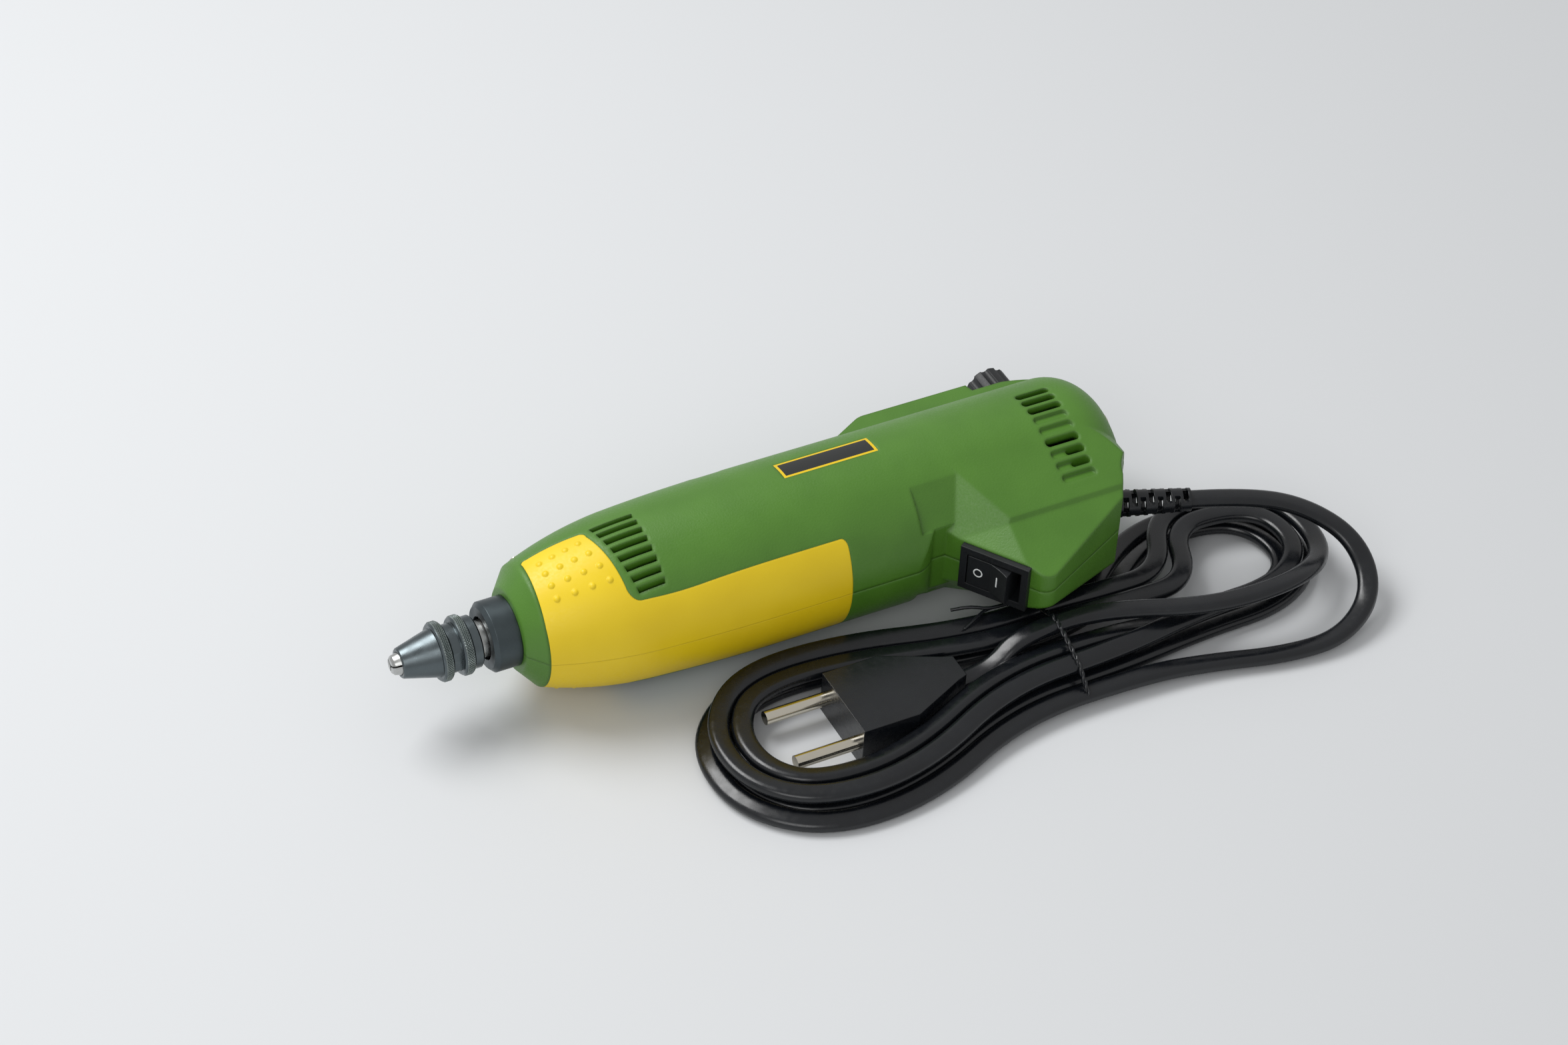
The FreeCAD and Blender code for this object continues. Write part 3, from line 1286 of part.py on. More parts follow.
def main():
    make_housing()
    make_screws()
    make_collar()
    make_bearings()
    make_spindle()
    make_chuck_body()
    make_chuck_sleeve()
    make_jaws()
    make_fan()
    make_coupling()
    make_motor()
    make_brushes()
    make_electronics()
    make_dial()
    make_switch()
    make_lock()
    make_bail()
    make_boot()
    make_clamp()
    total = make_lead() + make_hank() + make_tail()
    make_plug()
    print("lead outside the tool: %.0f mm" % total)
    finish()


def finish():
    """Checks every object and writes one STEP file for each node."""
    doc.recompute()
    for thing in doc.Objects:
        if "Invalid" in thing.State or "Error" in thing.State:
            raise RuntimeError("%s (%s) failed: %s" % (thing.Name, thing.Label, thing.State))
    os.makedirs("parts", exist_ok=True)
    for label, thing in nodes.items():
        shape = thing.Shape
        if shape.isNull() or not shape.isValid() or not shape.Solids:
            raise RuntimeError("%s has no valid solid" % label)
        shape.exportStep("parts/%s.step" % label)


main()
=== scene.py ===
"""Looks of the corded rotary tool: materials, its flat lead in a hank, small trim, light and camera."""
import bpy
import bmesh
import math
from mathutils import Matrix, Vector


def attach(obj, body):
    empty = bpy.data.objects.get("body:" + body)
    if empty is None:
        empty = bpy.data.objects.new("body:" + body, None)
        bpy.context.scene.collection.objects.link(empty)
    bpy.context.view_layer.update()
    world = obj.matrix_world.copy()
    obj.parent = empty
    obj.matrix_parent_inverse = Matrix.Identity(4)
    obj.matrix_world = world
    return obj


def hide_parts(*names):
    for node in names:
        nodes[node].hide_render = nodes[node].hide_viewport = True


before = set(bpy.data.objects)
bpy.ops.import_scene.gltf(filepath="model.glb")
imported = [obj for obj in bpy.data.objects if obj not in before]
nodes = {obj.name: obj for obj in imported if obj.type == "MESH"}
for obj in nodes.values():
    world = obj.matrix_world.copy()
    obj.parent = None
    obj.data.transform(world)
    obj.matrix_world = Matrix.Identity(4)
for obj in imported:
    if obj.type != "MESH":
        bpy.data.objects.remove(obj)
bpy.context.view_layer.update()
MM = 0.001

# The tool's own frame: station along the spindle, side towards the dial, height over the parting plane
REST = Vector((-85.4, 4.2, 25.2))


def place(x, y, z):
    """A point of the tool's frame, in millimetres, as the scene's metres."""
    return (Vector((x, y, z)) + REST) * MM


# Small helpers

def add_object(name, mesh, material=None, body="root"):
    thing = bpy.data.objects.new(name, mesh)
    bpy.context.scene.collection.objects.link(thing)
    if material:
        mesh.materials.append(material)
    if body:
        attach(thing, body)
    return thing


def add_node(tree, kind, settings=None, inputs=None, links=()):
    """Adds a node, sets its properties and sockets, and links named outputs into its inputs."""
    node = tree.nodes.new(kind)
    for name, value in (settings or {}).items():
        setattr(node, name, value)
    for name, value in (inputs or {}).items():
        node.inputs[name].default_value = value
    for source, output, name in links:
        tree.links.new(source.outputs[output], node.inputs[name])
    return node


def colour(hex_text):
    """Turns an sRGB hex value to linear RGBA."""
    parts = [int(hex_text[i:i + 2], 16) / 255 for i in (1, 3, 5)]
    return tuple(c / 12.92 if c <= 0.04045 else ((c + 0.055) / 1.055) ** 2.4 for c in parts) + (1.0,)


def surface(name, base, rough, ior=None, metal=0.0):
    """A new material with its shader set, then its tree, its shader and the object coordinates."""
    material = bpy.data.materials.new(name)
    material.use_nodes = True
    tree = material.node_tree
    shader = tree.nodes["Principled BSDF"]
    shader.inputs["Base Color"].default_value = colour(base)
    shader.inputs["Roughness"].default_value = rough
    shader.inputs["Metallic"].default_value = metal
    if ior:
        shader.inputs["IOR"].default_value = ior
    where = add_node(tree, "ShaderNodeTexCoord")
    return material, tree, shader, where


def speckle(tree, where, size_mm, detail=2.0):
    """Noise whose features are about size_mm across."""
    return add_node(tree, "ShaderNodeTexNoise", inputs={"Scale": 1.0 / (size_mm * MM), "Detail": detail},
                    links=[(where, "Object", "Vector")])


def soft_edges(tree, radius_mm):
    """Normals that round off the sharp edges of a moulded or turned piece."""
    return add_node(tree, "ShaderNodeBevel", {"samples": 6}, {"Radius": radius_mm * MM})


def bump(tree, shader, source, output, depth_mm, strength=1.0, under=None):
    """Bumps the shader's surface by a pattern, over rounded edges or an earlier bump."""
    links = [(source, output, "Height")]
    if under:
        links.append((under, "Normal", "Normal"))
    node = add_node(tree, "ShaderNodeBump",
                    inputs={"Distance": depth_mm * MM, "Strength": strength}, links=links)
    tree.links.new(node.outputs["Normal"], shader.inputs["Normal"])


def between(tree, shader, socket, source, output, low, high, start=0.3, end=0.7):
    """Drives a colour or a value between two ends by a pattern."""
    ramp = add_node(tree, "ShaderNodeValToRGB", links=[(source, output, "Fac")])
    ramp.color_ramp.elements[0].position = start
    ramp.color_ramp.elements[1].position = end
    ramp.color_ramp.elements[0].color = low if isinstance(low, tuple) else (low, low, low, 1.0)
    ramp.color_ramp.elements[1].color = high if isinstance(high, tuple) else (high, high, high, 1.0)
    tree.links.new(ramp.outputs["Color"], shader.inputs[socket])


# Materials of this tool

def green_polyamide():
    """Glass-filled nylon moulded in a spark-eroded tool: fine even grain and a broad soft sheen."""
    material, tree, shader, where = surface("green polyamide, spark grain", "#44701a", rough=0.46, ior=1.53)
    grain = speckle(tree, where, size_mm=0.55, detail=3.0)
    cloud = speckle(tree, where, size_mm=14.0)
    between(tree, shader, "Base Color", cloud, "Fac", colour("#416e18"), colour("#47751d"))
    between(tree, shader, "Roughness", grain, "Fac", 0.38, 0.54)
    bump(tree, shader, grain, "Fac", depth_mm=0.08, strength=0.8, under=soft_edges(tree, radius_mm=1.5))
    return material


def yellow_elastomer():
    """Soft grip of thermoplastic rubber: nearly smooth, low sheen, a little uneven."""
    material, tree, shader, where = surface("yellow soft elastomer", "#dcbd06", rough=0.5, ior=1.5)
    grain = speckle(tree, where, size_mm=0.8)
    cloud = speckle(tree, where, size_mm=18.0)
    between(tree, shader, "Base Color", cloud, "Fac", colour("#d9ba04"), colour("#dfc10a"))
    between(tree, shader, "Roughness", grain, "Fac", 0.4, 0.54)
    bump(tree, shader, grain, "Fac", depth_mm=0.03, strength=0.4, under=soft_edges(tree, radius_mm=0.5))
    return material


LATHE_RING_MM = 0.35
# A wave texture of scale 1 has a band every 0.31 units
WAVE_PERIOD = 0.31


def blued_steel(name, base, rough):
    """Turned and blued steel: dark, with faint rings from the lathe round the spindle axis."""
    material, tree, shader, where = surface(name, base, rough, metal=1.0)
    rings = add_node(tree, "ShaderNodeTexWave",
                     {"wave_type": "BANDS", "bands_direction": "X", "wave_profile": "SIN"},
                     {"Scale": WAVE_PERIOD / (LATHE_RING_MM * MM), "Distortion": 0.6, "Detail": 2.0,
                      "Detail Scale": 1.0},
                     [(where, "Object", "Vector")])
    wear = speckle(tree, where, size_mm=3.0, detail=4.0)
    between(tree, shader, "Roughness", wear, "Fac", max(rough - 0.07, 0.05), rough + 0.09)
    bump(tree, shader, rings, "Fac", depth_mm=0.012, strength=0.5, under=soft_edges(tree, radius_mm=0.2))
    return material


def plain_metal(name, base, rough):
    """Plain worked metal with slight unevenness."""
    material, tree, shader, where = surface(name, base, rough, metal=1.0)
    wear = speckle(tree, where, size_mm=2.0, detail=4.0)
    between(tree, shader, "Roughness", wear, "Fac", max(rough - 0.06, 0.04), rough + 0.08)
    bump(tree, shader, wear, "Fac", depth_mm=0.008, strength=0.4)
    return material


def moulded(name, base, second, rough, grain_mm=0.6, depth_mm=0.03):
    """Moulded plastic with a fine grain and slight cloudiness."""
    material, tree, shader, where = surface(name, base, rough, ior=1.5)
    grain = speckle(tree, where, grain_mm)
    cloud = speckle(tree, where, size_mm=9.0)
    between(tree, shader, "Base Color", cloud, "Fac", colour(base), colour(second))
    between(tree, shader, "Roughness", grain, "Fac", rough - 0.05, rough + 0.07)
    bump(tree, shader, grain, "Fac", depth_mm, strength=0.4, under=soft_edges(tree, radius_mm=0.35))
    return material


BADGE_MIDDLE = (105.1, 3.8)
BADGE_FIELD = (13.7, 2.85)


def badge_enamel():
    """Yellow badge plate with a bare dark field inside its rim."""
    material, tree, shader, where = surface("badge, yellow rim and dark field", "#d8b60a", rough=0.36, ior=1.5)
    parts = add_node(tree, "ShaderNodeSeparateXYZ", links=[(where, "Object", "Vector")])
    middle = place(*BADGE_MIDDLE, 0.0)
    inside = []
    for axis, centre, half in zip("XY", middle, BADGE_FIELD):
        near = add_node(tree, "ShaderNodeMath", {"operation": "COMPARE"}, links=[(parts, axis, 0)])
        near.inputs[1].default_value = centre
        near.inputs[2].default_value = half * MM
        inside.append(near)
    field = add_node(tree, "ShaderNodeMath", {"operation": "MULTIPLY"},
                     links=[(inside[0], "Value", 0), (inside[1], "Value", 1)])
    between(tree, shader, "Base Color", field, "Value", colour("#d8b60a"), colour("#1b1d1c"), 0.4, 0.6)
    bump(tree, shader, field, "Value", depth_mm=-0.15)
    return material


green = green_polyamide()
yellow = yellow_elastomer()
collar_steel = blued_steel("blued turned steel, collar", "#4d5558", 0.4)
chuck_steel = blued_steel("turned steel, chuck", "#5f676a", 0.3)
knurl_steel = plain_metal("knurled steel", "#7d8584", 0.3)
badge_look = badge_enamel()
mark_white = moulded("white pad print", "#d8dcdc", "#e2e5e5", 0.5, grain_mm=0.4, depth_mm=0.005)
bright_steel = plain_metal("ground steel", "#b9bab8", 0.28)
nickel = plain_metal("nickel plated steel", "#d5cfc0", 0.16)
zinc = plain_metal("zinc plated steel", "#a3a6a9", 0.35)
copper = plain_metal("enamelled copper wire", "#a4522a", 0.3)
brass = plain_metal("brass", "#b8924a", 0.3)
black_nylon = moulded("black nylon", "#101214", "#14171a", 0.42)
black_vinyl = moulded("black flexible vinyl", "#0b0d11", "#0f1216", 0.24, grain_mm=2.2, depth_mm=0.02)
board = moulded("lacquered board", "#1d4a2c", "#215232", 0.35, grain_mm=1.0, depth_mm=0.01)
part_mix = moulded("dark component resin", "#26282c", "#2c2f33", 0.4)
ferrite = moulded("pressed ferrite", "#232326", "#2a2a2d", 0.6)

FINISHES = {
    green: ("housing_upper", "housing_lower"),
    yellow: ("grip_upper", "grip_lower"),
    collar_steel: ("nose_collar",),
    chuck_steel: ("chuck_body", "chuck_sleeve"),
    badge_look: ("badge_plate",),
    bright_steel: ("chuck_jaw_1", "chuck_jaw_2", "chuck_jaw_3", "spindle", "bearing_outer_rings",
                   "bearing_inner_rings", "bearing_balls", "motor_shaft", "housing_screws", "clamp_screws"),
    nickel: ("spindle_lock_pin", "hanging_bail", "plug_pins"),
    zinc: ("motor_can", "armature_core"),
    copper: ("armature_windings", "commutator"),
    brass: ("brush_holders", "switch_terminals"),
    black_nylon: ("motor_end_bell", "cooling_fan", "shaft_coupling", "speed_potentiometer", "switch_frame",
                  "switch_rocker", "speed_dial", "cord_clamp"),
    black_vinyl: ("strain_relief", "plug_body"),
    board: ("circuit_board",),
    part_mix: ("board_components",),
    ferrite: ("motor_magnets", "carbon_brushes"),
}
for material, names in FINISHES.items():
    for name in names:
        mesh = nodes[name].data
        mesh.materials.clear()
        mesh.materials.append(material)


# The lead: one flat cord from the strain relief through the hank to the plug

# Section of the lead, and its way from the strain relief to the hank and from the hank to the plug
CORD_WIDTH = 6.0
CORD_THICK = 3.7
BOOT_START = (183.2, -21.5)
BOOT_TURN = math.radians(-19.0)
BOOT_LENGTH = 24.0
BOOT_RUN = 17.0
LEAD_ROUTE = ((238.0, -41.0, -4.5), (248.5, -53.0, -11.0), (246.0, -68.0, -18.0),
              (231.0, -77.0, -22.2), (212.0, -76.0, -22.65), (191.0, -70.4, -22.3),
              (170.5, -67.9, -21.1))
PLUG_REAR = (120.0, -51.8, -18.45)
PLUG_RUN = 10.0
# Heights of the hank's layers, and the lift where the turns cross at the waist
FLOOR = -25.2
LAYER_ONE = FLOOR + 2.55
LAYER_TWO = LAYER_ONE + 6.0
LAYER_THREE = LAYER_TWO + 6.9
WAIST_LIFT = 1.6
# Spacing of the turns, how it widens at the lobes, and the insets of the upper turns
HANK_PITCH = 6.0
HANK_FAN = 6.4
LEFT_FAN = 6.0
WIDE_FAN = 2.2
LEFT_DRAW = 1.4
UPPER_INSET = 2.2
UPPER_STEP = 1.1
# Middle and half width of the waist and of both lobes, and where the lobes end
WAIST = (150.0, -51.0)
WAIST_HALF = 16.9
RIGHT_LOBE = (-36.5, 26.5)
RIGHT_END = 244.0
RIGHT_WIDE = 212.0
LEFT_LOBE = (-53.0, 31.0)
LEFT_END = 44.0
LEFT_WIDE = 77.0
HANK_OUT = Vector((150.0, -49.2, -10.6))
# Where the upper turns pass the heel and how far they keep from it
HEEL_PASS = 182.0
RIGHT_HIGH = (216.5, -16.8)
PASS_SHIFT = 5.5
PASS_DROP = 0.5
HIGH_SHIFT = 1.5
HIGH_INSET = 0.6
EIGHTHS = 8
TURNS_BELOW = 2
TURNS_ABOVE = 2
EAST = Vector((1, 0, 0))
WEST = Vector((-1, 0, 0))


def hank_spot(step, inset, height):
    """Place and heading of the lead at an eighth of a turn, by its inset from the outer loop."""
    squeeze = HANK_PITCH * inset
    right_y, right_half = RIGHT_LOBE
    left_y, left_half = LEFT_LOBE
    x, y, heading = (
        (WAIST[0], WAIST[1] - WAIST_HALF + squeeze, WEST),
        (LEFT_WIDE - LEFT_DRAW * inset, left_y - left_half + squeeze, WEST),
        (LEFT_END + LEFT_FAN * inset, left_y, Vector((0, 1, 0))),
        (LEFT_WIDE - LEFT_DRAW * inset, left_y + left_half - squeeze, EAST),
        (WAIST[0], WAIST[1] + WAIST_HALF - squeeze, EAST),
        (RIGHT_WIDE + WIDE_FAN * inset, right_y + right_half - squeeze, EAST),
        (RIGHT_END - HANK_FAN * inset, right_y, Vector((0, -1, 0))),
        (RIGHT_WIDE, right_y - right_half + squeeze, WEST),
    )[step % EIGHTHS]
    return Vector((x, y, height + (WAIST_LIFT if step % 4 == 0 else 0.0))), heading


def hank_keys():
    """Two turns inwards on the floor, then two outwards on top of them, which pass under the heel."""
    keys = []
    below = TURNS_BELOW * EIGHTHS
    steps = below + TURNS_ABOVE * EIGHTHS
    for step in range(steps):
        if step < below:
            inset = step / EIGHTHS
            height = LAYER_ONE
        else:
            inset = UPPER_INSET - (step - below) * UPPER_STEP / EIGHTHS
            height = LAYER_THREE if step == steps - 1 else LAYER_TWO
        if step >= below and step % EIGHTHS == 5:
            shift = inset - HIGH_INSET
            pass_x = HEEL_PASS + PASS_SHIFT * shift
            keys.append((Vector((pass_x, keys[-1][0].y - PASS_DROP, LAYER_TWO + WAIST_LIFT / 2)), EAST))
            high_x = RIGHT_HIGH[0] + HIGH_SHIFT * shift
            keys.append((Vector((high_x, RIGHT_HIGH[1] - HANK_PITCH * shift, LAYER_TWO)), EAST))
        else:
            keys.append(hank_spot(step, inset, height))
    keys.append((HANK_OUT, WEST))
    return keys


def turn_corners(start, heading, end, final):
    """The two control points that carry a smooth curve from one key to the next."""
    chord = end - start
    total = heading + final
    a = 2 * (1 - heading.dot(final))
    b = 2 * chord.dot(total)
    c = -chord.dot(chord)
    reach = -c / b if abs(a) < 1e-9 else (-b + math.sqrt(b * b - 4 * a * c)) / (2 * a)
    return [start + heading * reach, end - final * reach]


def boot_point(along):
    """A point on the strain relief's axis."""
    x, y = BOOT_START
    return Vector((x + along * math.cos(BOOT_TURN), y + along * math.sin(BOOT_TURN), 0.0))


def cord_points():
    """Control points of the whole lead in the tool's frame."""
    points = [boot_point(BOOT_LENGTH), boot_point(BOOT_LENGTH + BOOT_RUN)] + [Vector(p) for p in LEAD_ROUTE]
    keys = hank_keys()
    for (start, heading), (end, final) in zip(keys[:-1], keys[1:]):
        points.extend(turn_corners(start, heading, end, final))
    x, y, z = PLUG_REAR
    points += [HANK_OUT + WEST * PLUG_RUN, Vector((x + PLUG_RUN, y, z)), Vector((x, y, z))]
    return points


ROLL = 0.35
ROLL_FAST = 0.41
ROLL_SLOW = 0.13
SECTION_CORNERS = 20
SECTION_SQUARE = 0.75
GROOVE_DEPTH = 0.16
GROOVE_HALF = 0.7


def flat_section():
    """Cross section of the two-core lead: flat sides, round edges and a shallow groove between the cores."""
    curve = bpy.data.curves.new("flat section", "CURVE")
    curve.dimensions = "2D"
    spline = curve.splines.new("POLY")
    spline.points.add(SECTION_CORNERS - 1)
    for i in range(SECTION_CORNERS):
        angle = 2 * math.pi * i / SECTION_CORNERS
        along = math.cos(angle)
        up = math.sin(angle)
        x = math.copysign(abs(along) ** SECTION_SQUARE, along) * CORD_WIDTH / 2
        groove = GROOVE_DEPTH * math.exp(-(x / GROOVE_HALF) ** 2)
        y = math.copysign(abs(up) ** SECTION_SQUARE, up) * (CORD_THICK / 2 - groove)
        spline.points[i].co = (x * MM, y * MM, 0, 1)
    spline.use_cyclic_u = True
    return bpy.data.objects.new("flat section", curve)


def make_lead():
    """The flat lead, which rolls a little along its way, with what is fixed to it."""
    curve = bpy.data.curves.new("flat lead", "CURVE")
    curve.dimensions = "3D"
    curve.twist_mode = "Z_UP"
    curve.resolution_u = 10
    points = cord_points()
    spline = curve.splines.new("NURBS")
    spline.points.add(len(points) - 1)
    for i, point in enumerate(points):
        spline.points[i].co = (*place(*point), 1)
        spline.points[i].tilt = ROLL * math.sin(ROLL_FAST * i) * math.sin(ROLL_SLOW * i)
    spline.order_u = 3
    spline.use_endpoint_u = True
    curve.bevel_mode = "OBJECT"
    curve.bevel_object = flat_section()
    curve.use_fill_caps = True
    lead = bpy.data.objects.new("mains_lead", curve)
    bpy.context.scene.collection.objects.link(lead)
    curve.materials.append(black_vinyl)
    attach(lead, "root")
    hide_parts("cord_lead", "cord_hank", "cord_tail")
    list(make_tie(lead))


def lead_crossings(lead, station):
    """Where the lead's middle line crosses a station of the tool, as (across, up) in millimetres."""
    line = lead.copy()
    line.data = lead.data.copy()
    line.data.bevel_mode = "ROUND"
    line.data.bevel_depth = 0.0
    bpy.context.scene.collection.objects.link(line)
    bpy.context.view_layer.update()
    path = bpy.data.meshes.new_from_object(line.evaluated_get(bpy.context.evaluated_depsgraph_get()))
    spots = [v.co / MM - REST for v in path.vertices]
    found = []
    for edge in path.edges:
        a, b = (spots[i] for i in edge.vertices)
        if (a.x - station) * (b.x - station) < 0:
            spot = a.lerp(b, (station - a.x) / (b.x - a.x))
            found.append((spot.y, spot.z))
    bpy.data.objects.remove(line)
    return found


def hull(spots):
    """The spots on the outline of a bundle, in turn."""
    spots = sorted(set(spots))
    halves = []
    for row in (spots, spots[::-1]):
        side = []
        for spot in row:
            while len(side) > 1 and (side[-1][0] - side[-2][0]) * (spot[1] - side[-2][1]) <= \
                    (side[-1][1] - side[-2][1]) * (spot[0] - side[-2][0]):
                side.pop()
            side.append(spot)
        halves.append(side[:-1])
    return halves[0] + halves[1]


# The tie round the hank's waist, whose middle line keeps within a strand of the floor and the lead

TIE_AT = 151.5
TIE_STRAND = 0.48
TIE_LAY = 5.0
TIE_STEP = 1.2
TIE_BITE = 0.9
TIE_KNOT_RISE = 0.35
TIE_TWIST = ((-4.0, 0.6, 1.2), (-9.0, 0.2, 2.0), (-14.0, 1.0, 1.6))
TIE_TIPS = ((-4.0, 2.4, 0.6), (-9.0, 4.2, -0.6))


def tie_loop(lead):
    """Middle line of the tie: the hull of the lead's crossings, flattened on the floor side."""
    across = CORD_WIDTH / 2 - TIE_BITE
    up = CORD_THICK / 2 + TIE_STRAND
    lowest = FLOOR + TIE_STRAND * 2
    rim = [(y + across * math.cos(t), z + up * math.sin(t))
           for y, z in lead_crossings(lead, TIE_AT)
           for t in (math.pi / 4, 3 * math.pi / 4, -math.pi / 4, -3 * math.pi / 4)]
    around = hull([(round(y, 4), round(max(z, lowest), 4)) for y, z in rim])
    points = []
    for i, (y, z) in enumerate(around):
        after = around[(i + 1) % len(around)]
        dy, dz = after[0] - y, after[1] - z
        steps = max(1, round(math.hypot(dy, dz) / TIE_STEP))
        points += [Vector((TIE_AT, y + dy * k / steps, z + dz * k / steps)) for k in range(steps)]
    return points


def strand(name, points):
    """A round plastic-covered wire through the points."""
    curve = bpy.data.curves.new(name, "CURVE")
    curve.dimensions = "3D"
    curve.bevel_depth = TIE_STRAND * MM
    curve.bevel_resolution = 2
    curve.resolution_u = 3
    curve.use_fill_caps = True
    spline = curve.splines.new("NURBS")
    spline.points.add(len(points) - 1)
    for i, point in enumerate(points):
        spline.points[i].co = (*place(*point), 1)
    spline.order_u = 3
    spline.use_endpoint_u = True
    thing = bpy.data.objects.new(name, curve)
    bpy.context.scene.collection.objects.link(thing)
    curve.materials.append(black_vinyl)
    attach(thing, "root")
    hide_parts("hank_tie")
    return thing


def make_tie(lead):
    """Two strands twisted round the bundle, with their ends twisted off towards the switch."""
    ring = tie_loop(lead)
    top = max(range(len(ring)), key=lambda i: ring[i].y + TIE_KNOT_RISE * ring[i].z)
    ring = ring[top:] + ring[:top + 1]
    way = ring + [ring[-1] + Vector(move) for move in TIE_TWIST]
    strands = []
    for side, name in ((1, "tie_strand_a"), (-1, "tie_strand_b")):
        gone = 0.0
        points = []
        for i, here in enumerate(way):
            before, after = way[max(i - 1, 0)], way[min(i + 1, len(way) - 1)]
            if i:
                gone += (here - way[i - 1]).length
            along = (after - before).normalized()
            fixed = EAST if abs(along.x) < 0.7 else Vector((0, 0, 1))
            sideways = along.cross(fixed).normalized()
            other = along.cross(sideways)
            turn = 2 * math.pi * gone / TIE_LAY
            points.append(here + (sideways * math.cos(turn) + other * math.sin(turn)) * TIE_STRAND * side)
        points += [points[-1] + Vector((x, y * side, z)) for x, y, z in TIE_TIPS]
        strands.append(strand(name, points))
    return strands


make_lead()


# Knurling of the chuck's two rings

KNURL_COLUMNS = 132
KNURL_LOW = 8.21
KNURL_HIGH = 8.5
KNURL_BORE = 7.71
KNURL_BANDS = (("knurl_rear", "rotor", -7.55, -5.4), ("knurl_front", "sleeve", -13.6, -11.6))


def knurl_band(name, body, start, end):
    """A ring of four-sided points in a diamond pattern, closed by a plain bore inside the ring it covers."""
    pitch = 2 * math.pi * KNURL_LOW / KNURL_COLUMNS
    rows = 2 * round((end - start) / pitch / 2)
    mesh = bmesh.new()

    def ring(x, radii):
        angles = [2 * math.pi * column / KNURL_COLUMNS for column in range(KNURL_COLUMNS)]
        return [mesh.verts.new(place(x, r * math.cos(t), r * math.sin(t))) for r, t in zip(radii, angles)]

    grid = []
    for row in range(rows + 1):
        raised = [(row + column) % 2 == 0 and 0 < row < rows for column in range(KNURL_COLUMNS)]
        radii = [KNURL_HIGH if up else KNURL_LOW for up in raised]
        grid.append(ring(start + (end - start) * row / rows, radii))
    for x in (end, start):
        grid.append(ring(x, [KNURL_BORE] * KNURL_COLUMNS))
    for row in range(len(grid)):
        here = grid[row]
        after = grid[(row + 1) % len(grid)]
        for column in range(KNURL_COLUMNS):
            beside = (column + 1) % KNURL_COLUMNS
            a, b, c, d = here[column], here[beside], after[beside], after[column]
            if row >= rows:
                mesh.faces.new((a, b, c, d))
            elif (row + column) % 2 == 0:
                mesh.faces.new((a, b, d))
                mesh.faces.new((b, c, d))
            else:
                mesh.faces.new((a, b, c))
                mesh.faces.new((a, c, d))
    bmesh.ops.recalc_face_normals(mesh, faces=mesh.faces[:])
    data = bpy.data.meshes.new(name)
    mesh.to_mesh(data)
    mesh.free()
    return add_object(name, data, knurl_steel, body)


for band in KNURL_BANDS:
    knurl_band(*band)


# Marks on the rocker: a ring and a bar, laid on its surface

SWITCH_MIDDLE = Vector((139.85, -34.6, 0.0))
SWITCH_TURN = math.radians(-55.0)
MARK_LIFT = 0.05
MARK_FROM = -15.0
RING_SIDES = 28
BAR_PARTS = 6
RING_MARK = (-4.6, 0.0, 1.45, 1.05)
BAR_MARK = (1.5, 0.0, 0.24, 1.7)


def switch_spot(x, y, z):
    """A point of the switch's own frame: x down the heel's front, y into the heel."""
    return place(*(SWITCH_MIDDLE + Matrix.Rotation(SWITCH_TURN, 3, "Z") @ Vector((x, y, z))))


def laid_strip(name, left, right, closed):
    """A thin strip between two rows of (x, z) spots, dropped on the rocker."""
    rocker = nodes["switch_rocker"]
    inward = (switch_spot(0, 1, 0) - switch_spot(0, 0, 0)).normalized()
    rows = []
    mesh = bmesh.new()
    for spots in (left, right):
        top = []
        under = []
        for x, z in spots:
            hit, spot, normal, face = rocker.ray_cast(switch_spot(x, MARK_FROM, z), inward)
            if not hit:
                raise RuntimeError("%s misses the rocker" % name)
            top.append(mesh.verts.new(spot - inward * MARK_LIFT * MM))
            under.append(mesh.verts.new(spot + inward * MARK_LIFT * MM))
        rows.append((top, under))
    (top_a, under_a), (top_b, under_b) = rows
    count = len(left)
    for i in range(count if closed else count - 1):
        j = (i + 1) % count
        for first, second in ((top_a, top_b), (top_b, under_b), (under_b, under_a), (under_a, top_a)):
            mesh.faces.new((first[i], first[j], second[j], second[i]))
    if not closed:
        for i in (0, count - 1):
            mesh.faces.new((top_a[i], top_b[i], under_b[i], under_a[i]))
    bmesh.ops.recalc_face_normals(mesh, faces=mesh.faces[:])
    data = bpy.data.meshes.new(name)
    mesh.to_mesh(data)
    mesh.free()
    return add_object(name, data, mark_white, "rocker")


def make_marks():
    x, z, outer, inner = RING_MARK
    turns = [2 * math.pi * i / RING_SIDES for i in range(RING_SIDES)]
    rims = [[(x + r * math.cos(t), z + r * math.sin(t)) for t in turns] for r in (outer, inner)]
    laid_strip("mark_off", *rims, True)
    x, z, half, tall = BAR_MARK
    heights = [z + tall * (2 * i / BAR_PARTS - 1) for i in range(BAR_PARTS + 1)]
    laid_strip("mark_on", [(x - half, h) for h in heights], [(x + half, h) for h in heights], False)


make_marks()


# Floor, light and camera

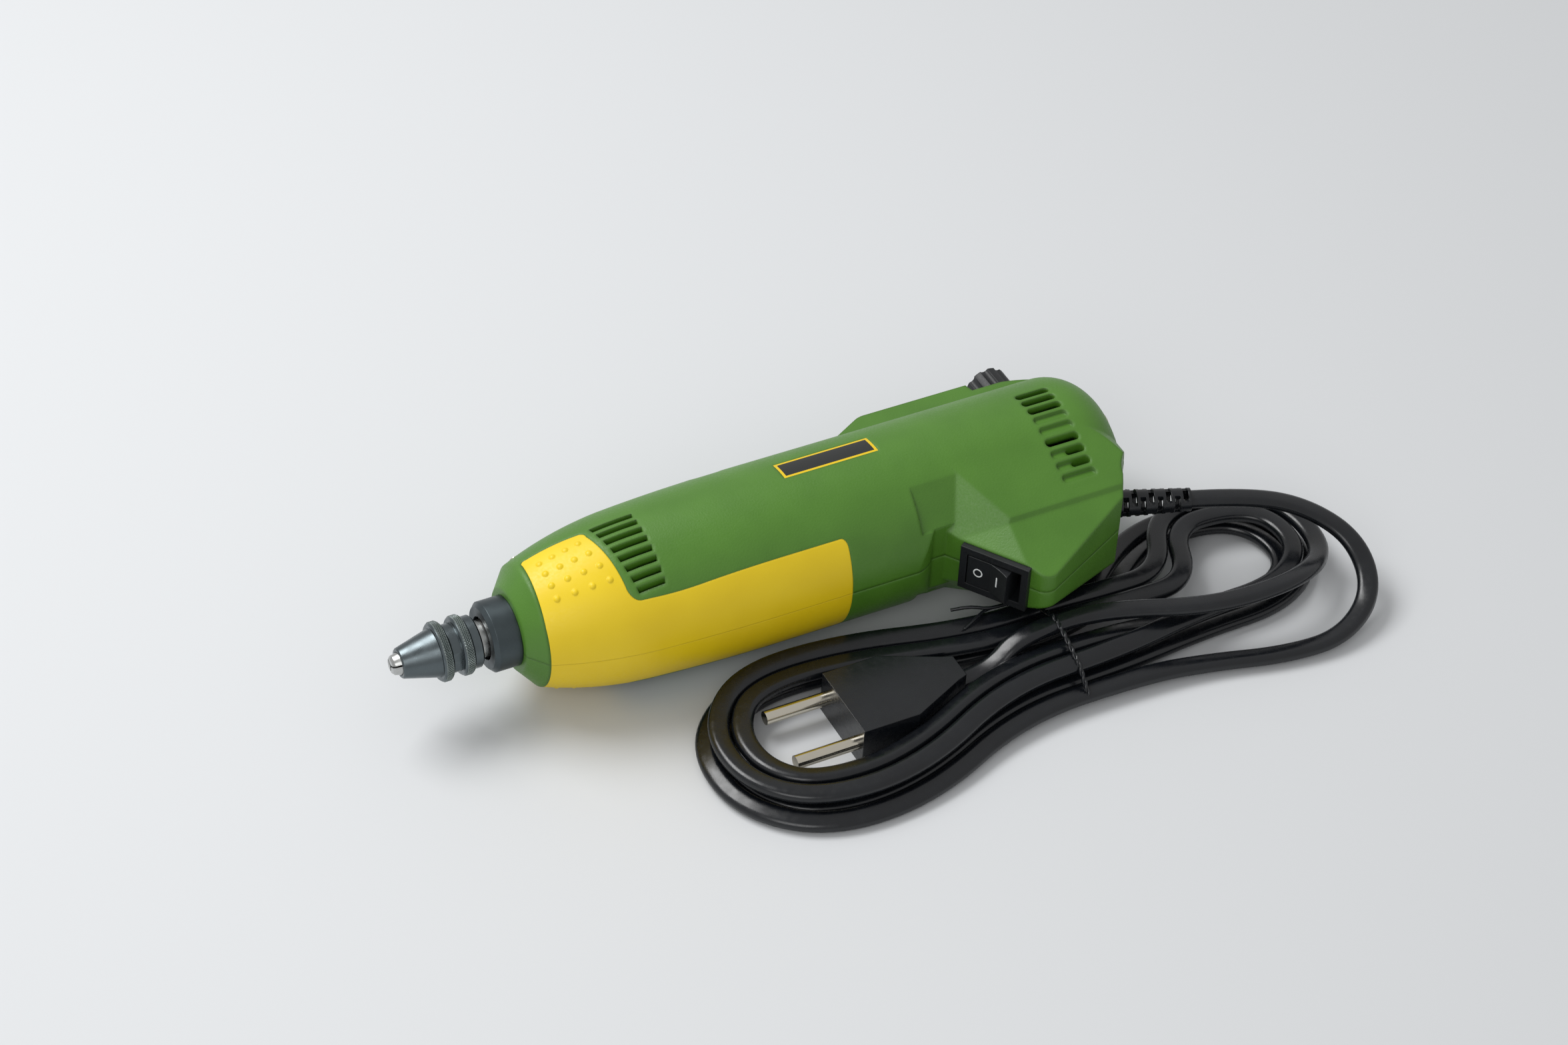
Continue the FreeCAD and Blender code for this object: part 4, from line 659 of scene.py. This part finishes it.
FLOOR_HALF = 6.0
KEY_LAMP = ((-0.35, 0.45, 0.9), (0.02, 0.0, 0.0), (0.7, 0.5), 9.0)
FILL_LAMP = ((-0.6, -0.7, 0.7), (0.0, 0.0, 0.0), (0.6, 0.6), 3.0)
ROOM_STRENGTH = 0.55
LENS = 90.8
CAMERA_BACK = (-0.3613, -0.6543, 0.6644)
CAMERA_UP = (0.2704, 0.6084, 0.7462)
CAMERA_AIM = (10.5, 13.0, 25.2)
CAMERA_DISTANCE = 1.109


def make_floor():
    mesh = bpy.data.meshes.new("floor")
    corners = [(x * FLOOR_HALF, y * FLOOR_HALF, 0) for x, y in ((-1, -1), (1, -1), (1, 1), (-1, 1))]
    mesh.from_pydata(corners, [], [(0, 1, 2, 3)])
    material, tree, shader, where = surface("pale floor", "#c8cacc", rough=0.9)
    floor = bpy.data.objects.new("floor", mesh)
    mesh.materials.append(material)
    bpy.context.scene.collection.objects.link(floor)


def add_lamp(name, position, target, size, watts):
    """A white rectangular lamp, aimed at a point."""
    lamp = bpy.data.lights.new(name, "AREA")
    lamp.shape = "RECTANGLE"
    lamp.size, lamp.size_y = size
    lamp.energy = watts
    thing = bpy.data.objects.new(name, lamp)
    thing.location = position
    thing.rotation_euler = (Vector(target) - Vector(position)).to_track_quat("-Z", "Y").to_euler()
    bpy.context.scene.collection.objects.link(thing)


def make_light():
    world = bpy.data.worlds.new("soft room")
    world.use_nodes = True
    background = world.node_tree.nodes["Background"]
    background.inputs["Color"].default_value = (1, 1, 1, 1)
    background.inputs["Strength"].default_value = ROOM_STRENGTH
    bpy.context.scene.world = world
    add_lamp("key", *KEY_LAMP)
    add_lamp("fill", *FILL_LAMP)


def make_camera():
    """The photograph's viewing angle: long lens, from the front left and above."""
    camera = bpy.data.cameras.new("camera")
    camera.sensor_width = 36.0
    camera.lens = LENS
    camera.clip_start = 0.05
    thing = bpy.data.objects.new("camera", camera)
    back = Vector(CAMERA_BACK).normalized()
    right = Vector(CAMERA_UP).cross(back).normalized()
    up = back.cross(right)
    turn = Matrix((right, up, back)).transposed().to_4x4()
    thing.matrix_world = Matrix.Translation(Vector(CAMERA_AIM) * MM + back * CAMERA_DISTANCE) @ turn
    bpy.context.scene.collection.objects.link(thing)
    bpy.context.scene.camera = thing


make_floor()
make_light()
make_camera()
bpy.context.scene.view_settings.view_transform = "Standard"
